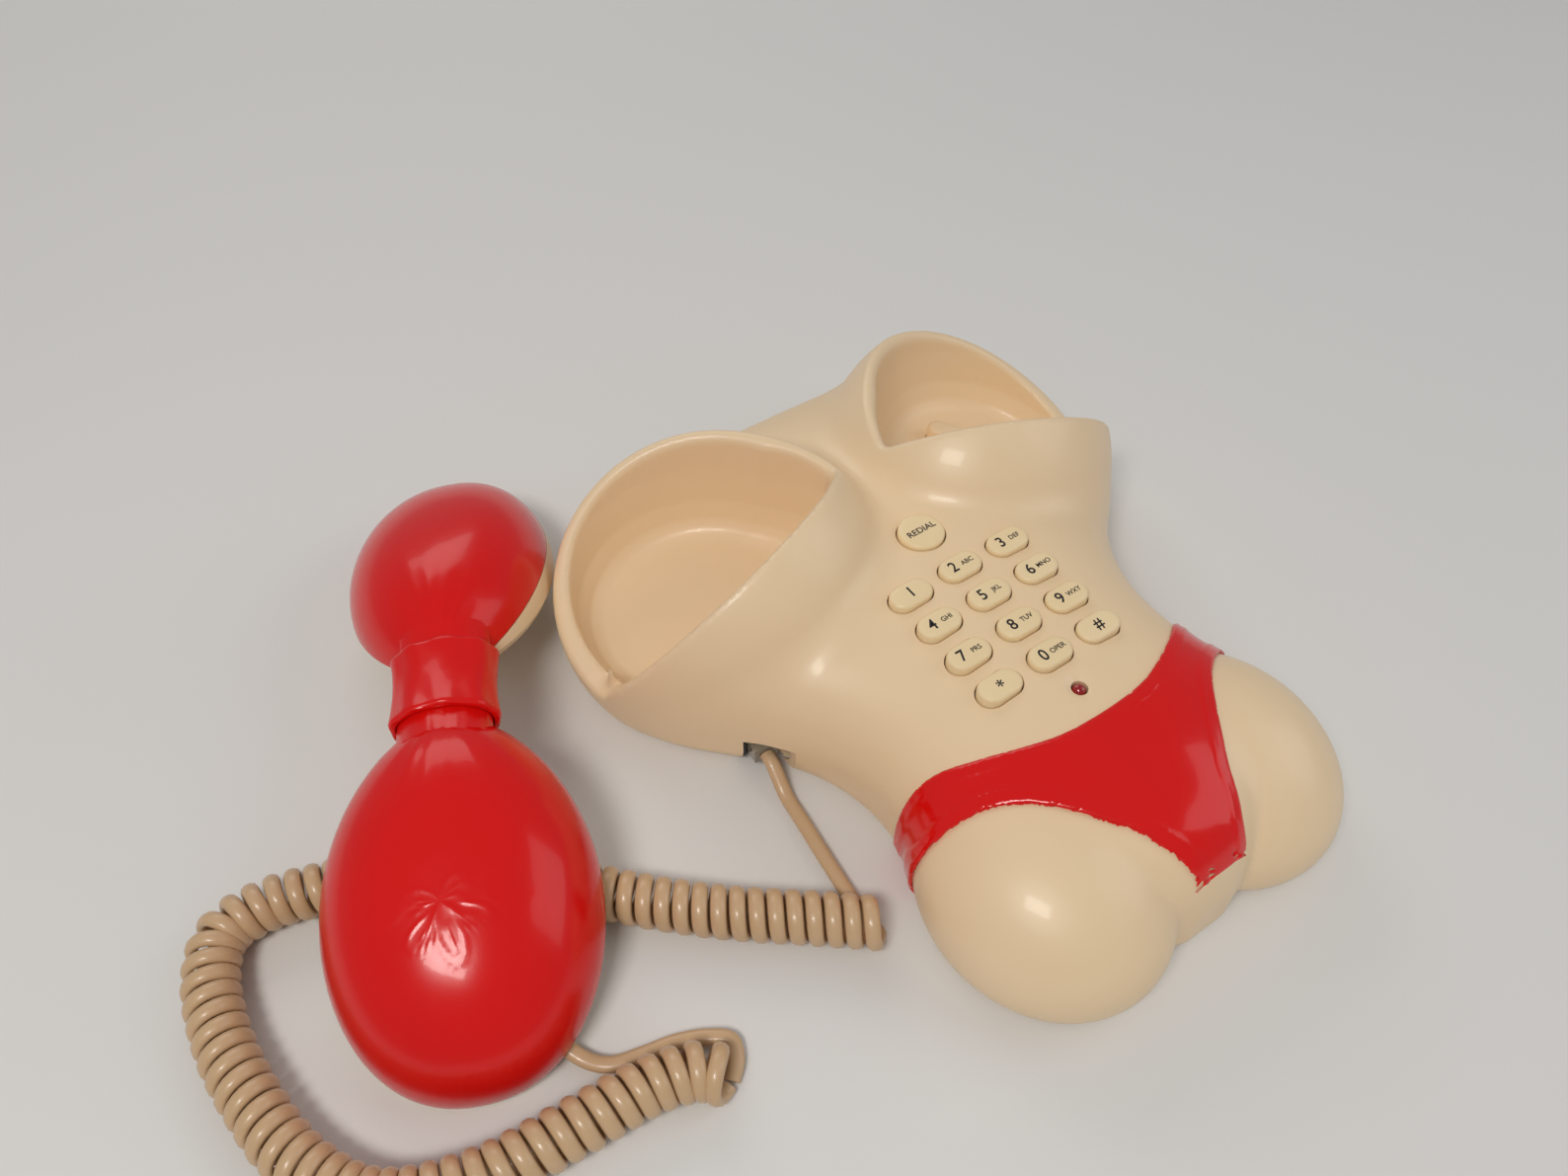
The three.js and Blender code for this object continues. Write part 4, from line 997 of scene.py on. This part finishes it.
def cup_body(end, grow, detail):
    around, levels = (AROUND, 52) if detail else (48, 14)
    cup = cup_solid("cup", end, grow, detail, around, levels)
    carve(cup, [bulge_solid("bulge", end, grow, 64 if detail else 32)], "UNION")
    bent(cup, end)
    start = KNOT_HALF + 0.3 - grow
    keep = raw_box("keep", -200, 200, *((start, 200) if end > 0 else (-200, -start)), -200, 200)
    return carve(cup, [keep], "INTERSECT")


def below_seam(drop):
    """Everything below the seam between the handset's two shells."""
    below = [bent(raw_box("below", -200, 200, -200, 200, -200, -drop), end) for end in (1, -1)]
    seam = carve(below[0], [below[1]], "INTERSECT")
    rise = (90 - SEAM_FROM) * SEAM_SLOPE
    # the seam rises in a soft curve on the side towards the base
    profile = [(SEAM_FROM - 4, -0.02)]
    for i in range(12):
        x = SEAM_FROM - 4 + 8 * (i + 1) / 12
        profile.append((x, SEAM_SLOPE * (x - SEAM_FROM + 4) ** 2 / 16))
    profile += [(90, rise), (90, -30), (SEAM_FROM - 4, -30)]
    rings = [[(x, y, z - drop) for x, z in profile] for y in (13, 137)]
    wedge = outwards(new_piece("wedge", *rings_mesh(rings), None, 30, mm=False))
    return carve(seam, [bent(wedge, 1)], "UNION")


def jack_room():
    jack = HANDSET.inverted() @ HANDSET_JACK
    room = raw_box("room", -5.8, 5.8, -14.3, 0.3, -0.3, 9.3)
    way = raw_box("way", -4.1, 4.1, 0, 40, -10, PLUG_MIDDLE + 3.0)
    for piece in (room, way):
        piece.data.transform(jack)
    return [room, way]


def finish_handset(piece, name, material, replaced, angle=38):
    drop_specks(piece)
    turn = Matrix.Translation(ORIGIN) @ Matrix.Scale(MM, 4) @ HANDSET
    piece.data.transform(turn)
    piece.name = name
    piece.data.materials.clear()
    piece.data.materials.append(material)
    for face in piece.data.polygons:
        face.material_index = 0
    soften(piece, angle)
    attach(piece, "handset_body")
    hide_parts(replaced)


def handset_shells():
    whole = cup_body(-1, 0, True)
    carve(whole, [cup_body(1, 0, True), bar_solid("bar", 20, 0, 48)], "UNION")
    hollow = [cup_body(end, -SHELL_WALL, False) for end in (-1, 1)]
    lower = copy_of(whole)
    carve(whole, [below_seam(0.0), *[copy_of(h) for h in hollow], *jack_room()])
    finish_handset(whole, "handset_red_shell", SATIN_RED, "handset_upper_shell")
    carve(lower, [below_seam(0.3)], "INTERSECT")
    cutters = [*hollow, *jack_room()]
    for end in (-1, 1):
        for ring, count in ((0, 1), (5, 6), (9.5, 12)):
            for i in range(count):
                angle = 2 * math.pi * i / count
                x, y = ring * math.cos(angle), end * BULGE["reach"] + ring * math.sin(angle)
                rings = [[(px, py, z) for px, py in circle(0.9, x, y, 12)] for z in (-BULGE["depth"] - 2, 0)]
                cutters.append(bent(new_piece("hole", *rings_mesh(rings), None, 30, mm=False), end))
    for y in (-6.5, 6.5):
        for radius, top in ((1.5, -2.5), (3.2, -9)):
            rings = [[(px, py, z) for px, py in circle(radius, 0, y, 24)] for z in (-30, top)]
            cutters.append(new_piece("screw_way", *rings_mesh(rings), None, 30, mm=False))
    carve(lower, cutters)
    finish_handset(lower, "handset_ivory_shell", IVORY, "handset_lower_shell")


handset_shells()


def knot():
    """The gathered band round the grip: flared at both edges, drawn in at its middle, with soft folds."""
    rings, steps, stations_along = [], 120, 41
    half = KNOT_HALF - 0.2
    for outside in (True, False):
        run = np.linspace(-half, half, stations_along) if outside else np.linspace(half, -half, 5)
        for y in run:
            ring = []
            for i in range(steps):
                angle = 2 * math.pi * i / steps
                c, s = math.cos(angle), math.sin(angle)
                up = GRIP_UP if s > 0 else GRIP_DOWN
                grow = 0.35
                if outside:
                    lip = 1 - min(1, (half - abs(y)) / 1.2)
                    waist = 1 - (y / half) ** 2
                    folds = 0.28 * math.cos(9 * angle + 0.6 * math.sin(y * 0.3)) * (0.35 + 0.65 * abs(y) / half)
                    grow = 2.3 - 0.9 * waist + (folds if s > -0.3 else 0) - 0.8 * lip * lip
                ring.append(((GRIP_HALF + grow) * c, float(y), (up + grow) * s))
            rings.append(ring)
    count = steps
    points = [p for ring in rings for p in ring]
    faces = []
    for r in range(len(rings)):
        n = (r + 1) % len(rings)
        for i in range(count):
            j = (i + 1) % count
            faces.append((r * count + i, r * count + j, n * count + j, n * count + i))
    band = outwards(new_piece("knot", points, faces, None, 50, mm=False))
    finish_handset(band, "knot_of_the_cups", SATIN_RED, "knot_band", 50)


knot()


# ---------------------------------------------------------------- pieces that keep their frame shape
def dress(node, material):
    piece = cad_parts[node]
    piece.data.materials.clear()
    piece.data.materials.append(material)


DRESSING = {
    "base_lower_cover": IVORY_INSIDE, "key_mat": SILICONE, "key_board": LAMINATE, "main_chip": BLACK_MOULDING,
    "hook_switch": BLACK_MOULDING, "ringer_sounder": BRASS, "ballast_plate": ZINC, "base_cord_jack": BLACK_MOULDING,
    "line_jack": BLACK_MOULDING, "receiver": BLACK_MOULDING, "microphone_boot": RUBBER, "microphone": ZINC,
    "balance_weight": ZINC, "handset_cord_jack": BLACK_MOULDING, "base_plug": CLEAR_PLUG, "handset_plug": CLEAR_PLUG,
}
for switch in ("ringer", "tone"):
    DRESSING[switch + "_switch_body"] = DRESSING[switch + "_switch_knob"] = BLACK_MOULDING
for count in (1, 2, 3, 4):
    DRESSING[f"foot_{count}"] = RUBBER
    DRESSING[f"case_screw_{count}"] = ZINC
DRESSING["handset_screw_1"] = DRESSING["handset_screw_2"] = ZINC
for node, material in DRESSING.items():
    dress(node, material)


# ---------------------------------------------------------------- repeated small parts
def repeated(name, seed_piece, count, start, step, material, body, slot):
    """Copies of a seed piece in a row, made by a node tree with its count, start and step as inputs."""
    tree = bpy.data.node_groups.new(name + "_row", "GeometryNodeTree")
    tree.interface.new_socket("Geometry", in_out="INPUT", socket_type="NodeSocketGeometry")
    sockets = {}
    for label, kind in (("Count", "Int"), ("Start", "Vector"), ("Step", "Vector")):
        sockets[label] = tree.interface.new_socket(label, in_out="INPUT", socket_type="NodeSocket" + kind).identifier
    tree.interface.new_socket("Geometry", in_out="OUTPUT", socket_type="NodeSocketGeometry")
    nodes, links = tree.nodes, tree.links
    group_in, group_out = nodes.new("NodeGroupInput"), nodes.new("NodeGroupOutput")
    line = nodes.new("GeometryNodeMeshLine")
    instance = nodes.new("GeometryNodeInstanceOnPoints")
    realize = nodes.new("GeometryNodeRealizeInstances")
    finish = nodes.new("GeometryNodeSetMaterial")
    finish.inputs["Material"].default_value = material
    links.new(group_in.outputs["Count"], line.inputs["Count"])
    links.new(group_in.outputs["Start"], line.inputs["Start Location"])
    links.new(group_in.outputs["Step"], line.inputs["Offset"])
    links.new(line.outputs["Mesh"], instance.inputs["Points"])
    links.new(group_in.outputs["Geometry"], instance.inputs["Instance"])
    links.new(instance.outputs["Instances"], realize.inputs["Geometry"])
    links.new(realize.outputs["Geometry"], finish.inputs["Geometry"])
    links.new(finish.outputs["Geometry"], group_out.inputs["Geometry"])
    modifier = seed_piece.modifiers.new("row", "NODES")
    modifier.node_group = tree
    modifier[sockets["Count"]] = count
    modifier[sockets["Start"]] = start
    modifier[sockets["Step"]] = step
    apply_modifiers(seed_piece)
    seed_piece.name = name
    return seed_piece


def contacts(name, jack, body):
    """Four gilded contact blades along the top of a clear plug."""
    rings = [[(x, y, z) for x, y in ((-0.28, 0.0), (0.28, 0.0), (0.28, 4.2), (-0.28, 4.2))] for z in (0.0, 1.9)]
    blade = new_piece(name, *rings_mesh(rings), GOLD_CONTACT, 30, mm=False)
    row = repeated(name, blade, 4, (-1.65, -10.6, PLUG_MIDDLE + 0.5), (1.1, 0.0, 0.0), GOLD_CONTACT, body, "brass")
    row.data.transform(Matrix.Translation(ORIGIN) @ Matrix.Scale(MM, 4) @ jack)
    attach(row, body)


contacts("base_plug_contacts", BASE_JACK, "base_body")
contacts("handset_plug_contacts", HANDSET_JACK, "handset_body")

# ---------------------------------------------------------------- floor and light
FLOOR_COLOUR = rgb(226, 224, 220)


def stage():
    material = plastic("studio_floor", FLOOR_COLOUR, rgb(220, 218, 214), 0.75, drift_scale=3.0, grain_depth=0.0,
                       scuff=0.05)
    mesh = bpy.data.meshes.new("floor")
    half = 4.0
    mesh.from_pydata([(-half, -half, 0), (half, -half, 0), (half, half, 0), (-half, half, 0)], [], [(0, 1, 2, 3)])
    floor = bpy.data.objects.new("floor", mesh)
    mesh.materials.append(material)
    scene.collection.objects.link(floor)


def soft_lamp(name, location, size, power, tint=(1.0, 0.97, 0.93)):
    data = bpy.data.lights.new(name, "AREA")
    data.shape = "RECTANGLE"
    data.size, data.size_y = size
    data.energy = power
    data.color = tint
    lamp = bpy.data.objects.new(name, data)
    lamp.location = location
    lamp.rotation_euler = (-Vector(location)).to_track_quat("-Z", "Y").to_euler()
    scene.collection.objects.link(lamp)


def lights():
    world = bpy.data.worlds.new("studio")
    scene.world = world
    world.use_nodes = True
    background = world.node_tree.nodes["Background"]
    background.inputs["Color"].default_value = (0.93, 0.95, 1.0, 1)
    background.inputs["Strength"].default_value = 0.3
    soft_lamp("key_light", (-0.55, -0.35, 0.95), (0.36, 0.24), 5.4)
    soft_lamp("fill_light", (0.9, -0.5, 0.7), (0.8, 0.8), 2.3, (0.96, 0.98, 1.0))
    soft_lamp("back_light", (0.2, 1.0, 0.8), (0.9, 0.5), 2.6)


stage()
lights()
